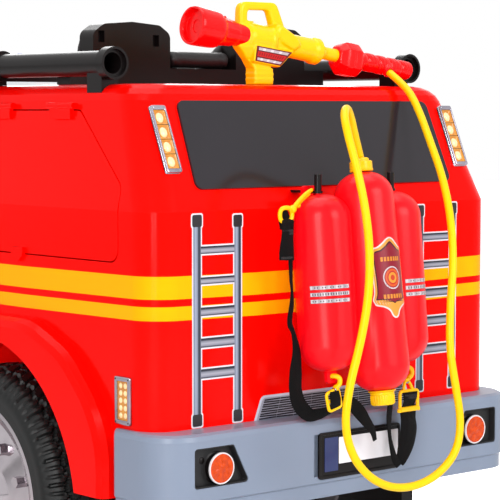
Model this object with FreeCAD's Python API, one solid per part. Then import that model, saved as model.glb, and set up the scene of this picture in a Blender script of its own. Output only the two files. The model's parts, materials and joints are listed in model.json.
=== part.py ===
import FreeCAD, Part
import math
import os

# Child's ride-on fire engine, built at its own size in millimetres.
# The origin lies on the ground under the middle of the toy: front is -Y, left is +X, up is +Z.

Vec = FreeCAD.Vector
X_AXIS = Vec(1, 0, 0)
Y_AXIS = Vec(0, 1, 0)
Z_AXIS = Vec(0, 0, 1)

# Driving sizes of the body
body_half = 290.0
belt_z = 548.0
roof_z = 699.0
sill_z = 205.0
side_lean = 28.0
rear_lean = 64.0
body_corner = 38.0
roof_round = 20.0
roof_steps = 4
deck_thickness = 15.0
skin = 5.0
gap = 0.3
shut_gap = 3.0
overrun = 20.0

# Driving lengths, from the rear panel forward
rear_y = 560.0
rear_length = 500.0
front_overhang = 235.0
cowl_setback = 76.0
post_setback = 164.0
hood_z = 500.0
cowl_z = 560.0

# Wheels, axles and steering
wheel_radius = 169.0
tyre_width = 100.0
rim_radius = 121.0
wheel_face = 315.0
rear_axle_y = 224.0
wheel_base = 650.0
axle_radius = 6.0
running_gap = 0.2
kingpin_x = 200.0
arch_radius = 207.0
well_wall = 4.0
rear_well_x = 206.0
front_well_x = 148.0
steering_arm = 60.0

# Cabin, seat and doors
floor_z = 190.0
cabin_half = 200.0
seat_back_y = 300.0
seat_top_z = 305.0
seat_depth = 310.0
door_thickness = 30.0
door_rear_y = 56.0
door_swing_gap = 5.0
door_post_lap = 6.0
door_bottom_z = 262.0

# Places worked out from the driving sizes
body_front_y = rear_y - rear_length
front_axle_y = rear_axle_y - wheel_base
front_y = front_axle_y - front_overhang
cowl_y = front_axle_y + cowl_setback
post_y = front_axle_y + post_setback
door_front_y = post_y + door_post_lap
wheel_x = wheel_face - tyre_width / 2
tray_z = floor_z


def vec(x, y, z):
    return Vec(x, y, z)


def box(x0, x1, y0, y1, z0, z1):
    """Box between two corners."""
    return Part.makeBox(x1 - x0, y1 - y0, z1 - z0, vec(x0, y0, z0))


def rod(radius, start, end):
    """Solid cylinder from one point to another."""
    along = end - start
    return Part.makeCylinder(radius, along.Length, start, along)


def fuse(shapes):
    """One shape from several that touch or overlap."""
    first = shapes[0]
    for other in shapes[1:]:
        first = first.fuse(other)
    return first.removeSplitter()


def cut(shape, tools):
    """Shape less all the tools."""
    for tool in tools:
        shape = shape.cut(tool)
    return shape


def mirrored(shape):
    """The same shape on the other side of the toy."""
    return shape.mirror(vec(0, 0, 0), X_AXIS)


def pair(shape):
    """A left shape and its right-hand twin."""
    return Part.makeCompound([shape, mirrored(shape)])


def both(shape):
    """List of a left shape and its right-hand twin, for cutting."""
    return [shape, mirrored(shape)]


def wire(points, radii):
    """Closed wire through the points, each corner rounded by its own radius."""
    count = len(points)
    corners = []
    for index in range(count):
        corner = points[index]
        before = points[index - 1] - corner
        after = points[(index + 1) % count] - corner
        radius = radii[index] if isinstance(radii, (list, tuple)) else radii
        half = before.getAngle(after) / 2
        if radius <= 0 or abs(half - math.pi / 2) < 1e-6:
            corners.append((corner, corner, corner))
            continue
        before.normalize()
        after.normalize()
        reach = radius / math.tan(half)
        inward = before + after
        inward.normalize()
        middle = corner + inward * (radius / math.sin(half) - radius)
        corners.append((corner + before * reach, middle, corner + after * reach))
    edges = []
    for index in range(count):
        start, middle, end = corners[index]
        if (end - start).Length > 1e-6:
            edges.append(Part.Arc(start, middle, end).toShape())
        following = corners[(index + 1) % count][0]
        if (following - end).Length > 1e-6:
            edges.append(Part.LineSegment(end, following).toShape())
    return Part.Wire(edges)


def prism(points, radii, along):
    """Solid swept straight from a rounded outline."""
    return Part.Face(wire(points, radii)).extrude(along)


def prism_x(outline, radii, x0, x1):
    """Side outline of (y, z) places made solid from x0 to x1."""
    return prism([vec(x0, y, z) for y, z in outline], radii, vec(x1 - x0, 0, 0))


def prism_y(outline, radii, y0, y1):
    """Front outline of (x, z) places made solid from y0 to y1."""
    return prism([vec(x, y0, z) for x, z in outline], radii, vec(0, y1 - y0, 0))


def prism_z(outline, radii, z0, z1):
    """Plan outline of (x, y) places made solid from z0 to z1."""
    return prism([vec(x, y, z0) for x, y in outline], radii, vec(0, 0, z1 - z0))


def revolved(outline, centre, axis, across):
    """Solid of revolution of (radius, along) places about an axis."""
    points = [centre + across * radius + axis * along for radius, along in outline]
    return Part.Face(Part.makePolygon(points + [points[0]])).revolve(centre, axis, 360)


def side_place(z):
    """How far out the side wall's outer face is at this height."""
    if z <= belt_z:
        return body_half
    return body_half - side_lean * (z - belt_z) / (roof_z - belt_z)


def rear_place(z):
    """Where the rear wall's outer face is at this height."""
    if z <= belt_z:
        return rear_y
    return rear_y - rear_lean * (z - belt_z) / (roof_z - belt_z)


# Rear body: lofted shell with its roof, wheel wells and flares

def rear_block(inset, bottom_z):
    """Tapered block with rounded rear corners, drawn in by an inset on every side."""
    levels = [(bottom_z, 0.0, 0.0), (belt_z, 0.0, 0.0)]
    straight_share = 1 - roof_round / (roof_z - belt_z)
    levels.append((belt_z + (roof_z - belt_z) * straight_share, straight_share, 0.0))
    for step in range(1, roof_steps + 1):
        turn = math.radians(90) * step / roof_steps
        height = roof_z - inset - roof_round + roof_round * math.sin(turn)
        share = (height - belt_z) / (roof_z - belt_z)
        levels.append((height, min(share, 1.0), roof_round * (1 - math.cos(turn))))
    sections = []
    for height, share, drawn_in in levels:
        if share > 0 and drawn_in == 0:
            height = height - inset
            share = (height - belt_z) / (roof_z - belt_z)
        half = body_half - side_lean * share - inset - drawn_in
        back = rear_y - rear_lean * share - inset - drawn_in
        front = body_front_y + inset
        corner = body_corner - inset
        points = [vec(half, front, height), vec(half, back, height), vec(-half, back, height),
                  vec(-half, front, height)]
        sections.append(wire(points, [0, corner, corner, 0]))
    return Part.makeLoft(sections, True, True)


rear_flare_reach_share = 1.285
door_side_reach_share = 1.105
nose_side_reach_share = 1.09
flare_top_share = 1.165
flare_rise_shares = [(0.40, 0.985), (0.70, 0.85), (0.89, 0.64), (1.0, 0.44)]
flare_x = 312.0
flare_bevel = 13.0
flare_corner_share = 0.56
flare_lip = [(0.0, 0.0), (0.62, 0.0), (0.88, 0.35), (1.0, 1.0)]
arch_lip = 4.0
shelf_clearance = 12.0


def flare_outline(axle_y, reach_front, reach_rear, grow):
    """Outline of a wheel arch flare about its axle, as (y, z) places."""
    top = arch_radius * flare_top_share + grow
    outline = [(axle_y + reach_rear + grow, sill_z)]
    for along, up in reversed(flare_rise_shares):
        outline.append((axle_y + (reach_rear + grow) * along, wheel_radius + top * up))
    for along, up in flare_rise_shares:
        outline.append((axle_y - (reach_front + grow) * along, wheel_radius + top * up))
    outline.append((axle_y - reach_front - grow, sill_z))
    return outline


def flare(axle_y, reach_front, reach_rear, grow=0.0):
    """Bevelled flare on the left side, without its arch opening."""
    corner = arch_radius * flare_corner_share
    radii = [0] + [corner] * (2 * len(flare_rise_shares)) + [0]
    sections = []
    foot_x = body_half - skin
    for out, shrink in flare_lip:
        x = foot_x + (flare_x - foot_x) * out
        outline = flare_outline(axle_y, reach_front, reach_rear, grow - flare_bevel * shrink)
        sections.append(wire([vec(x, y, z) for y, z in outline], radii))
    return Part.makeLoft(sections, True, True)


def flare_keepout(axle_y, reach_front, reach_rear, clearance):
    """Space that a door or a step leaves round a flare on the left side."""
    outline = flare_outline(axle_y, reach_front, reach_rear, clearance)
    outline = [(y, z if z > sill_z else floor_z - overrun) for y, z in outline]
    space = prism_x(outline, 0, body_half - door_thickness - overrun, flare_x + overrun)
    return space


rear_reaches = (arch_radius * door_side_reach_share, arch_radius * rear_flare_reach_share)
front_reaches = (arch_radius * nose_side_reach_share, arch_radius * door_side_reach_share)


def wheel_space(axle_y, inner_x):
    """Round space that a left wheel turns in, flared out at its mouth."""
    space = rod(arch_radius, vec(inner_x, axle_y, wheel_radius), vec(flare_x + overrun, axle_y, wheel_radius))
    mouth = Part.makeCone(arch_radius, arch_radius + arch_lip, arch_lip * 2,
                          vec(flare_x - arch_lip * 2, axle_y, wheel_radius), X_AXIS)
    return space.fuse(mouth)


def wheel_well(axle_y, inner_x):
    """Liner over a left wheel: a half tunnel with its inner end wall."""
    outer = rod(arch_radius + well_wall, vec(inner_x - well_wall, axle_y, wheel_radius),
                vec(body_half - skin / 2, axle_y, wheel_radius))
    keep = box(inner_x - well_wall, body_half, axle_y - 2 * arch_radius, axle_y + 2 * arch_radius, sill_z,
               sill_z + 2 * arch_radius)
    return outer.common(keep)


# Side hatch: sizes shared by the opening and its panel
hatch_bottom_z = 486.0
hatch_top_z = 668.0
hatch_rear_y = 495.0
hatch_front_y = 79.0
hatch_slope_z = 578.0
hatch_slope_run = 105.0
hatch_corner = 16.0
hatch_shoulder_share = math.tan(math.radians(22.5))
tongue_half = 13.0
tongue_drop = 11.0
tongue_root = 9.0


def hatch_outline(inset):
    """Six-sided outline of the hatch, as (y, z) places, drawn in by an inset."""
    bottom = hatch_bottom_z + inset
    top = hatch_top_z - inset
    rear = hatch_rear_y - inset
    front = hatch_front_y + inset
    shoulder = hatch_slope_z - inset * hatch_shoulder_share
    return [(rear, bottom), (rear, shoulder), (rear - hatch_slope_run, top), (front + hatch_slope_run, top),
            (front, shoulder), (front, bottom)]


def hatch_prism(inset):
    """Left hatch outline swept across the side wall."""
    return prism_x(hatch_outline(inset), hatch_corner, cabin_half + skin * 2, body_half + overrun)


# Hinges: small barrels on a pin between two ears
hinge_pin_radius = 1.5
hinge_barrel_radius = 4.0
hinge_barrel_length = 44.0
hinge_ear = 5.0
hinge_foot_radius = 3.2
hinge_reach = 16.0
hinge_pad_reach = 8.0
hinge_pad_drop = 12.0


def hinge_barrel(place, axis, length, pad):
    """Moving half of a hinge: barrel with its bore, joined to the panel by a pad."""
    half = axis * (length / 2)
    barrel = rod(hinge_barrel_radius, place - half, place + half)
    return barrel.fuse(pad).cut(rod(hinge_pin_radius + running_gap, place - half * 2, place + half * 2))


def hinge_pin(place, axis, length, inward):
    """Fixed half of a hinge: pin through its two ear barrels, which stand on feet."""
    half = axis * (length / 2 + gap)
    ear = axis * hinge_ear
    pin = rod(hinge_pin_radius, place - half - ear, place + half + ear)
    parts = [pin]
    for start in (place + half, place - half - ear):
        parts.append(rod(hinge_barrel_radius, start, start + ear))
        foot = rod(hinge_foot_radius, start + ear / 2, start + ear / 2 + inward)
        parts.append(foot.common(rod(hinge_reach, start, start + ear)))
    return fuse(parts)


hatch_hinge_z = hatch_top_z + hinge_barrel_radius + gap
hatch_hinge_share = 0.34
hatch_hinge_x = side_place(hatch_top_z) + hinge_barrel_radius + gap


def hatch_hinge_places():
    """The two hinge middles along the left hatch's top edge."""
    length = hatch_rear_y - hatch_front_y
    return [vec(hatch_hinge_x, hatch_front_y + length * share, hatch_hinge_z)
            for share in (hatch_hinge_share, 1 - hatch_hinge_share)]


def make_rear_body():
    """Hollow shell with roof, hatch openings, wells, flares and seat bay."""
    outer = rear_block(0.0, sill_z)
    shell = outer.cut(rear_block(skin, sill_z - overrun))
    bay = box(-cabin_half, cabin_half, body_front_y - overrun, seat_back_y, floor_z - overrun, roof_z + overrun)
    bay_walls = box(-cabin_half - skin, cabin_half + skin, body_front_y, seat_back_y + skin, floor_z, roof_z)
    bay_walls = bay_walls.common(outer.fuse(box(-cabin_half - skin, cabin_half + skin, body_front_y,
                                                seat_back_y + skin, floor_z, sill_z)))
    shelf_z = wheel_radius + arch_radius + shelf_clearance
    shelf = outer.common(box(-body_half, body_half, body_front_y, rear_y, shelf_z, shelf_z + skin))
    parts = [shell, bay_walls.cut(bay), shelf]
    voids = [bay]
    for side in (1, -1):
        well = wheel_well(rear_axle_y, rear_well_x)
        arch = flare(rear_axle_y, *rear_reaches)
        space = wheel_space(rear_axle_y, rear_well_x)
        opening = hatch_prism(0.0)
        if side < 0:
            well, arch, space, opening = [mirrored(shape) for shape in (well, arch, space, opening)]
        parts += [well, arch]
        voids += [space, opening]
    body = cut(fuse(parts), voids)
    inward = vec(-hinge_pad_reach, 0, 0)
    pins = [hinge_pin(place, Y_AXIS, hinge_barrel_length, inward) for place in hatch_hinge_places()]
    for pin in pins:
        body = body.fuse(pin).fuse(mirrored(pin))
    return body


def make_hatch():
    """Left hatch: panel cut from the same wall, with hinge barrels and a finger tab."""
    wall = rear_block(0.0, sill_z).cut(rear_block(skin, sill_z - overrun))
    panel = wall.common(hatch_prism(shut_gap / 2))
    frame = rear_block(-gap, sill_z).cut(hatch_prism(shut_gap / 2))
    barrels = []
    for place in hatch_hinge_places():
        half = hinge_barrel_length / 2
        pad = box(place.x - hinge_pad_reach, place.x + hinge_barrel_radius / 2, place.y - half, place.y + half,
                  hatch_top_z - hinge_pad_drop, place.z)
        barrels.append(hinge_barrel(place, Y_AXIS, hinge_barrel_length, pad.cut(frame)))
    middle = (hatch_rear_y + hatch_front_y) / 2
    low = hatch_bottom_z - tongue_drop
    high = hatch_bottom_z + tongue_root
    tongue = prism_x([(middle - tongue_half, high), (middle - tongue_half, hatch_bottom_z), (middle, low),
                      (middle + tongue_half, hatch_bottom_z), (middle + tongue_half, high)],
                     [0, skin, skin, skin, 0], body_half + gap, body_half + skin)
    root = box(body_half - skin / 2, body_half + skin, middle - tongue_half, middle + tongue_half,
               hatch_bottom_z + shut_gap, high)
    return fuse([panel] + barrels + [tongue, root])


# Door hinges: places shared by the doors and the front body's posts
door_hinge_low_z = 405.0
door_hinge_high_z = 515.0
door_foot_share = 0.75
well_foot_share = 0.9
door_hinge_x = body_half + hinge_barrel_radius + gap
door_hinge_y = (post_y + door_front_y) / 2

# Front body: hood, nose, cowl, fenders

nose_corner = 55.0
nose_round = 70.0
hood_round = 40.0
post_round = 12.0
nose_steps = 3


def front_block(inset, bottom_z):
    """Hood and cowl lofted from the door posts to the rounded nose, drawn in by an inset."""
    half = body_half - inset
    levels = [(post_y - inset, belt_z, post_round), (cowl_y, cowl_z, hood_round),
              (front_y + nose_round, hood_z, hood_round)]
    for step in range(1, nose_steps + 1):
        turn = math.radians(90) * step / nose_steps
        reach = nose_round - inset
        levels.append((front_y + nose_round - reach * math.sin(turn), hood_z - reach * (1 - math.cos(turn)),
                       hood_round))
    sections = []
    for y, top, rounding in levels:
        points = [vec(half, y, bottom_z), vec(half, y, top - inset), vec(-half, y, top - inset),
                  vec(-half, y, bottom_z)]
        sections.append(wire(points, [0, rounding - inset, rounding - inset, 0]))
    hood = Part.makeLoft(sections, True, True)
    plan = [(half, post_y), (half, front_y + inset), (-half, front_y + inset), (-half, post_y)]
    return hood.common(prism_z(plan, [0, nose_corner - inset, nose_corner - inset, 0], bottom_z, cowl_z))


cowl_half = 250.0


def make_front_body():
    """Hollow hood with fenders, wheel wells and the door posts."""
    shell = front_block(0.0, sill_z).cut(front_block(skin, sill_z - overrun))
    firewall_y = cowl_y - skin
    firewall = box(-body_half + skin, body_half - skin, firewall_y - skin, firewall_y, sill_z, hood_z)
    parts = [shell, firewall.common(front_block(0.0, sill_z))]
    column_hole = rod(column_radius + gap * 2, wheel_centre - column_axis * column_length * 2, wheel_centre)
    voids = [box(-cowl_half, cowl_half, cowl_y, post_y + overrun, sill_z - overrun, belt_z - deck_thickness),
             column_hole]
    for side in (1, -1):
        well = wheel_well(front_axle_y, front_well_x)
        arch = flare(front_axle_y, *front_reaches)
        space = wheel_space(front_axle_y, front_well_x)
        reach = arch_radius * well_foot_share
        foot = box(front_well_x - well_wall, front_well_x, front_axle_y - reach, front_axle_y + reach, floor_z, sill_z)
        if side < 0:
            well, arch, space, foot = [mirrored(shape) for shape in (well, arch, space, foot)]
        parts += [well, arch, foot]
        voids.append(space)
    body = cut(fuse(parts), voids)
    back = vec(-hinge_pad_reach, -hinge_pad_reach, 0) * door_foot_share
    for place in door_hinge_places():
        pin = hinge_pin(place, Z_AXIS, hinge_barrel_length, back)
        body = body.fuse(pin).fuse(mirrored(pin))
    return body


# Chassis tray and side steps

tray_thickness = 12.0
tray_rear_half = 212.0
tray_front_half = 149.0
beam_x = 130.0
beam_width = 20.0
beam_depth = 34.0
tray_rear_y = rear_y - skin * 2
tray_front_y = front_y + skin * 2


def make_chassis():
    """Floor tray with two beams under it, which carry both axles."""
    neck_y = front_axle_y + arch_radius + well_wall * 2
    outline = [(tray_rear_half, tray_rear_y), (tray_rear_half, neck_y), (tray_front_half, neck_y),
               (tray_front_half, tray_front_y)]
    outline = outline + [(-x, y) for x, y in reversed(outline)]
    tray = prism_z(outline, 0, tray_z - tray_thickness, tray_z)
    beam = box(beam_x, beam_x + beam_width, tray_front_y, tray_rear_y,
               tray_z - tray_thickness - beam_depth, tray_z - tray_thickness)
    rail = fuse([tray, beam, mirrored(beam)])
    bores = [rod(axle_radius + running_gap, vec(-wheel_face, rear_axle_y, wheel_radius),
                 vec(wheel_face, rear_axle_y, wheel_radius))]
    front_notch = box(-wheel_face, wheel_face, front_axle_y - beam_tube / 2 - gap, front_axle_y + beam_tube / 2 + gap,
                      0, wheel_radius + beam_tube / 2 + gap)
    return cut(rail, bores + [front_notch])


step_top_z = 250.0


def make_side_steps():
    """Running boards between the arches, one each side."""
    step = box(tray_rear_half + gap, flare_x - flare_bevel, front_axle_y, rear_axle_y,
               tray_z - tray_thickness, step_top_z)
    step = step.common(box(0, flare_x, front_axle_y, rear_axle_y, tray_z - tray_thickness, step_top_z))
    hollow = box(tray_rear_half + gap + skin, flare_x - flare_bevel - skin, front_axle_y + skin,
                 rear_axle_y - skin, tray_z - tray_thickness - overrun, step_top_z - skin)
    step = step.cut(hollow)
    for axle_y, reaches in ((rear_axle_y, rear_reaches), (front_axle_y, front_reaches)):
        keep = rod(arch_radius + well_wall + gap, vec(0, axle_y, wheel_radius), vec(wheel_face * 2, axle_y, wheel_radius))
        step = cut(step, [keep, flare_keepout(axle_y, *reaches, shut_gap)])
    return pair(step)


# Bumpers

bumper_top_z = 290.0
bumper_bottom_z = 190.0
bumper_out = 38.0
bumper_side = 12.0
bumper_corner = 50.0
bumper_front_y = 494.5
plate_half = 70.0
plate_bottom_z = 218.0
plate_top_z = 270.0
recess_depth = 4.0
lamp_x = 217.5
lamp_z = 247.0
lamp_radius = 19.0
lamp_recess_bottom_z = 226.0
lamp_recess_top_z = 273.5
lamp_recess_out_x = 257.6
lamp_recess_in_low_x = 173.5
lamp_recess_in_high_x = 198.0
lamp_recess_depth = 12.0
lamp_recess_corner = 4.0
bumper_end_round = 9.0
bumper_steps = [(190.0, 4.0), (207.0, 4.0), (210.0, 0.0), (282.0, 0.0), (287.5, 2.0), (290.0, 7.0)]


def u_block(half, back_y, corner, front, low, high):
    """Plan block with rounded rear corners."""
    outline = [(half, front), (half, back_y), (-half, back_y), (-half, front)]
    return prism_z(outline, [0, corner, corner, 0], low, high)


def bumper_outside():
    """Outer form of the rear bumper: a lower lip set in, and a rounded top edge."""
    sections = []
    for z, inset in bumper_steps:
        half = body_half + bumper_side - inset
        back_y = rear_y + bumper_out - inset
        corner = bumper_corner - inset
        points = [vec(half, bumper_front_y, z), vec(half, back_y, z), vec(-half, back_y, z),
                  vec(-half, bumper_front_y, z)]
        sections.append(wire(points, [bumper_end_round - inset, corner, corner, bumper_end_round - inset]))
    return Part.makeLoft(sections, True, True)


def make_rear_bumper():
    """Wrap-round bumper, hollow from below, with lamp and plate recesses."""
    outer = bumper_outside()
    inner = u_block(body_half + gap, rear_y + gap, body_corner, bumper_front_y - overrun,
                    bumper_bottom_z - overrun, bumper_top_z + overrun)
    hollow = u_block(body_half - lamp_recess_depth, rear_y + bumper_out - lamp_recess_depth - skin,
                     lamp_recess_depth, rear_y - overrun, bumper_bottom_z - overrun, bumper_top_z - skin)
    face_y = rear_y + bumper_out
    plate = box(-plate_half, plate_half, face_y - recess_depth, face_y + overrun, plate_bottom_z, plate_top_z)
    pocket = prism_y([(lamp_recess_out_x, lamp_recess_bottom_z), (lamp_recess_out_x, lamp_recess_top_z),
                      (lamp_recess_in_high_x, lamp_recess_top_z), (lamp_recess_in_low_x, lamp_recess_bottom_z)],
                     lamp_recess_corner, face_y - lamp_recess_depth, face_y + overrun)
    return cut(outer, [inner, hollow, plate] + both(pocket))


front_bumper_out = 18.0


def make_front_bumper():
    """Deep front bumper between the front arches."""
    half = body_half + bumper_side
    out_y = front_y - front_bumper_out
    outline = [(half, front_y + bumper_corner), (half, out_y), (-half, out_y), (-half, front_y + bumper_corner)]
    outer = prism_z(outline, [0, bumper_corner, bumper_corner, 0], bumper_bottom_z, bumper_top_z)
    inner_outline = [(body_half + gap, front_y + 2 * bumper_corner), (body_half + gap, front_y - gap),
                     (-body_half - gap, front_y - gap), (-body_half - gap, front_y + 2 * bumper_corner)]
    inner = prism_z(inner_outline, [0, nose_corner, nose_corner, 0], bumper_bottom_z - overrun,
                    bumper_top_z + overrun)
    bumper = outer.cut(inner)
    for side in (1, -1):
        keep = rod(arch_radius + well_wall + gap, vec(0, front_axle_y, wheel_radius),
                   vec(side * wheel_face * 2, front_axle_y, wheel_radius))
        away = flare(front_axle_y, *front_reaches, grow=gap)
        bumper = bumper.cut(keep).cut(away if side > 0 else mirrored(away))
    return bumper


# Glass panel, lamps and markers

window_top_half = 212.0
window_bottom_half = 216.5
window_top_z = 677.5
window_bottom_z = 572.5
window_thickness = 3.0
window_corner = 10.0
rear_tilt = math.atan2(rear_lean, roof_z - belt_z)


def on_rear_slope(shape):
    """Lay a shape drawn upright at the belt line onto the sloping rear wall."""
    shape.rotate(vec(0, rear_y, belt_z), X_AXIS, math.degrees(rear_tilt))
    return shape


def slope_height(z):
    """Distance up the rear slope of a height."""
    return belt_z + (z - belt_z) / math.cos(rear_tilt)


def make_rear_window():
    """Dark panel on the sloping rear wall."""
    low = slope_height(window_bottom_z)
    high = slope_height(window_top_z)
    outline = [(window_bottom_half, low), (window_top_half, high), (-window_top_half, high),
               (-window_bottom_half, low)]
    return on_rear_slope(prism_y(outline, window_corner, rear_y + gap, rear_y + gap + window_thickness))


strip_x = 244.5
strip_width = 22.5
strip_low_z = 592.0
strip_high_z = 671.0
strip_depth = 6.0
lens_radius = 6.5
lens_count = 4
lens_out_share = 0.7
reflector_out_share = 1.2
strip_end = 10.0
marker_rear_y = 517.5
marker_front_y = 489.0
marker_low_z = 295.5
marker_high_z = 352.0
marker_depth = 4.0


def make_lamp_bezels():
    """Plated housings: two tail strips on the slope and two side markers."""
    low = slope_height(strip_low_z)
    high = slope_height(strip_high_z)
    half = strip_width / 2
    outline = [(strip_x - half, low), (strip_x + half, low), (strip_x + half, high), (strip_x - half, high)]
    strip = prism_y(outline, half / 2, rear_y + gap, rear_y + gap + strip_depth)
    strip = on_rear_slope(strip)
    for lens in lens_places():
        strip = strip.cut(rod(lens_radius + running_gap, lens - slope_normal() * strip_depth / 2,
                              lens + slope_normal() * strip_depth * 2))
    marker = prism_x([(marker_front_y, marker_low_z), (marker_rear_y, marker_low_z),
                      (marker_rear_y, marker_high_z), (marker_front_y, marker_high_z)], marker_depth,
                     body_half + gap, body_half + gap + marker_depth)
    return Part.makeCompound(both(strip) + both(marker))


def slope_normal():
    """Outward direction of the sloping rear wall."""
    return vec(0, math.cos(rear_tilt), math.sin(rear_tilt))


def lens_places():
    """Seats of the tail lamp lenses on the left strip."""
    places = []
    pitch = (strip_high_z - strip_low_z - strip_end) / lens_count
    for index in range(lens_count):
        z = strip_low_z + strip_end / 2 + pitch * (index + 0.5)
        foot = vec(strip_x, rear_place(z), z)
        places.append(foot + slope_normal() * (gap + strip_depth / 2))
    return places


def make_lamp_lenses():
    """Amber lenses in the strips and round reflectors in the rear bumper."""
    shapes = []
    for lens in lens_places():
        shapes += both(rod(lens_radius, lens, lens + slope_normal() * strip_depth * lens_out_share))
    face_y = rear_y + bumper_out - lamp_recess_depth
    reflector = rod(lamp_radius, vec(lamp_x, face_y, lamp_z), vec(lamp_x, face_y + lamp_recess_depth * reflector_out_share, lamp_z))
    shapes += both(reflector)
    return Part.makeCompound(shapes)


# Front lamps and grille

grille_half = 120.0
grille_low_z = 305.0
grille_high_z = 415.0
grille_depth = 8.0
grille_bar = 10.0
grille_slots = 7
grille_rib = 3.3
grille_slot_round = 2.5
headlamp_x = 195.0
headlamp_z = 360.0
headlamp_radius = 34.0
headlamp_depth = 9.0


def make_grille():
    """Front grille: a frame with upright slots."""
    frame = prism_y([(grille_half, grille_low_z), (grille_half, grille_high_z), (-grille_half, grille_high_z),
                     (-grille_half, grille_low_z)], grille_bar, front_y - gap - grille_depth, front_y - gap)
    pitch = 2 * (grille_half - grille_bar) / grille_slots
    for index in range(grille_slots):
        left = -grille_half + grille_bar + pitch * index + grille_rib
        right = left + pitch - grille_rib * 2
        frame = frame.cut(prism_y([(left, grille_low_z + grille_bar), (left, grille_high_z - grille_bar),
                                   (right, grille_high_z - grille_bar), (right, grille_low_z + grille_bar)],
                                  grille_slot_round, front_y - gap - grille_depth - overrun, front_y + overrun))
    return frame


def make_headlamps():
    """Round headlamps on the nose."""
    centre = vec(headlamp_x, front_y - gap, headlamp_z)
    outline = [(0, 0), (headlamp_radius, 0), (headlamp_radius, headlamp_depth),
               (headlamp_radius - headlamp_depth / 2, headlamp_depth),
               (headlamp_radius - headlamp_depth, headlamp_depth / 2), (0, headlamp_depth)]
    return pair(revolved(outline, centre, vec(0, -1, 0), X_AXIS))


# Windshield, light bar and roof rails

rail_x = 252.0
rail_z = 724.0
rail_radius = 15.5
collar_radius = 20.0
collar_rear_y = 440.0
collar_length = 60.0
end_collar_length = 15.0
mid_collar_y = 196.0
rail_bore_radius = 13.0
rail_bore_depth = 45.0
rail_mouth_radius = 17.0
rail_mouth_depth = 6.0
rail_foot = 30.0
header_y = post_y
pillar = 18.0
windshield_base_y = cowl_y + 10.0
windshield_base_half = 252.0
windshield_base_z = cowl_z
windshield_thickness = 3.0


def in_windshield_plane(shape):
    """Tip a shape drawn upright over the windshield's base line back to the header."""
    rise = rail_z - windshield_base_z
    run = header_y - windshield_base_y
    shape.rotate(vec(0, windshield_base_y, windshield_base_z), X_AXIS, -math.degrees(math.atan2(run, rise)))
    return shape


def windshield_outline(inset):
    """Upright outline of the windshield frame, drawn in by an inset."""
    rise = math.hypot(rail_z - windshield_base_z, header_y - windshield_base_y)
    low = windshield_base_z + inset
    high = windshield_base_z + rise + pillar / 2 - inset
    return [(windshield_base_half - inset, low), (rail_x + pillar / 2 - inset, high),
            (-rail_x - pillar / 2 + inset, high), (-windshield_base_half + inset, low)]


def make_windshield_frame():
    """Black frame round the windshield."""
    y0 = windshield_base_y - pillar / 2
    y1 = windshield_base_y + pillar / 2
    outer = prism_y(windshield_outline(0.0), pillar, y0, y1)
    inner = prism_y(windshield_outline(pillar), pillar / 2, y0 - overrun, y1 + overrun)
    frame = in_windshield_plane(outer.cut(inner))
    return frame.cut(front_block(-gap, sill_z))


def make_windshield():
    """Clear panel held in the frame."""
    half = windshield_thickness / 2
    panel = prism_y(windshield_outline(pillar + gap), pillar / 2, windshield_base_y - half,
                    windshield_base_y + half)
    return in_windshield_plane(panel)


def make_roof_rails():
    """Round rails from the windshield header to their open rear ends."""
    front = header_y + pillar
    shapes = [rod(rail_radius, vec(rail_x, front, rail_z), vec(rail_x, collar_rear_y, rail_z))]
    collars = [(collar_rear_y - end_collar_length, end_collar_length), (mid_collar_y - collar_length, collar_length),
               (front, collar_length)]
    for start, length in collars:
        shapes.append(rod(collar_radius, vec(rail_x, start, rail_z), vec(rail_x, start + length, rail_z)))
    foot_half = rail_foot / 2
    for middle in (collar_rear_y - end_collar_length - foot_half, mid_collar_y - collar_length / 2):
        shapes.append(box(rail_x - foot_half, rail_x + foot_half - roof_round / 4, middle - foot_half,
                          middle + foot_half, roof_z - roof_round, rail_z))
    rail = fuse(shapes)
    mouth = vec(rail_x, collar_rear_y, rail_z)
    bore = rod(rail_bore_radius, mouth - Y_AXIS * (rail_mouth_depth + rail_bore_depth), mouth + Y_AXIS * overrun)
    recess = rod(rail_mouth_radius, mouth - Y_AXIS * rail_mouth_depth, mouth + Y_AXIS * overrun)
    rail = cut(rail, [bore, recess, rear_block(-gap, sill_z)])
    return pair(rail)


bar_half = 170.0
bar_width = 50.0
bar_height = 6.0
dome_height = 13.0
dome_half = 62.0


def header_top_z():
    """Height of the windshield frame's upper rear edge."""
    rise = rail_z - windshield_base_z
    run = header_y - windshield_base_y
    return rail_z + pillar / 2 * (rise + run) / math.hypot(rise, run)


bar_low_z = header_top_z() + gap


def make_light_bar_base():
    """Plain base of the light bar on the windshield header."""
    middle = header_y + pillar
    outline = [(bar_half, middle - bar_width / 2), (bar_half, middle + bar_width / 2),
               (-bar_half, middle + bar_width / 2), (-bar_half, middle - bar_width / 2)]
    return prism_z(outline, bar_width / 4, bar_low_z, bar_low_z + bar_height)


def make_light_bar_domes():
    """Two long blue domes on the light bar."""
    middle = header_y + pillar
    low = bar_low_z + bar_height + gap
    half = bar_width / 2 - gap * 4
    dome_x = bar_half - dome_half - gap * 4
    outline = [(dome_x - dome_half, middle - half), (dome_x + dome_half, middle - half),
               (dome_x + dome_half, middle + half), (dome_x - dome_half, middle + half)]
    block = prism_z(outline, bar_width / 5, low, low + dome_height)
    crown = prism_y([(dome_x - dome_half, low), (dome_x + dome_half, low), (dome_x + dome_half, low + dome_height),
                     (dome_x - dome_half, low + dome_height)], [0, 0, dome_height / 2, dome_height / 2],
                    middle - bar_width, middle + bar_width)
    return pair(block.common(crown))


# Dashboard and steering wheel

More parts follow.
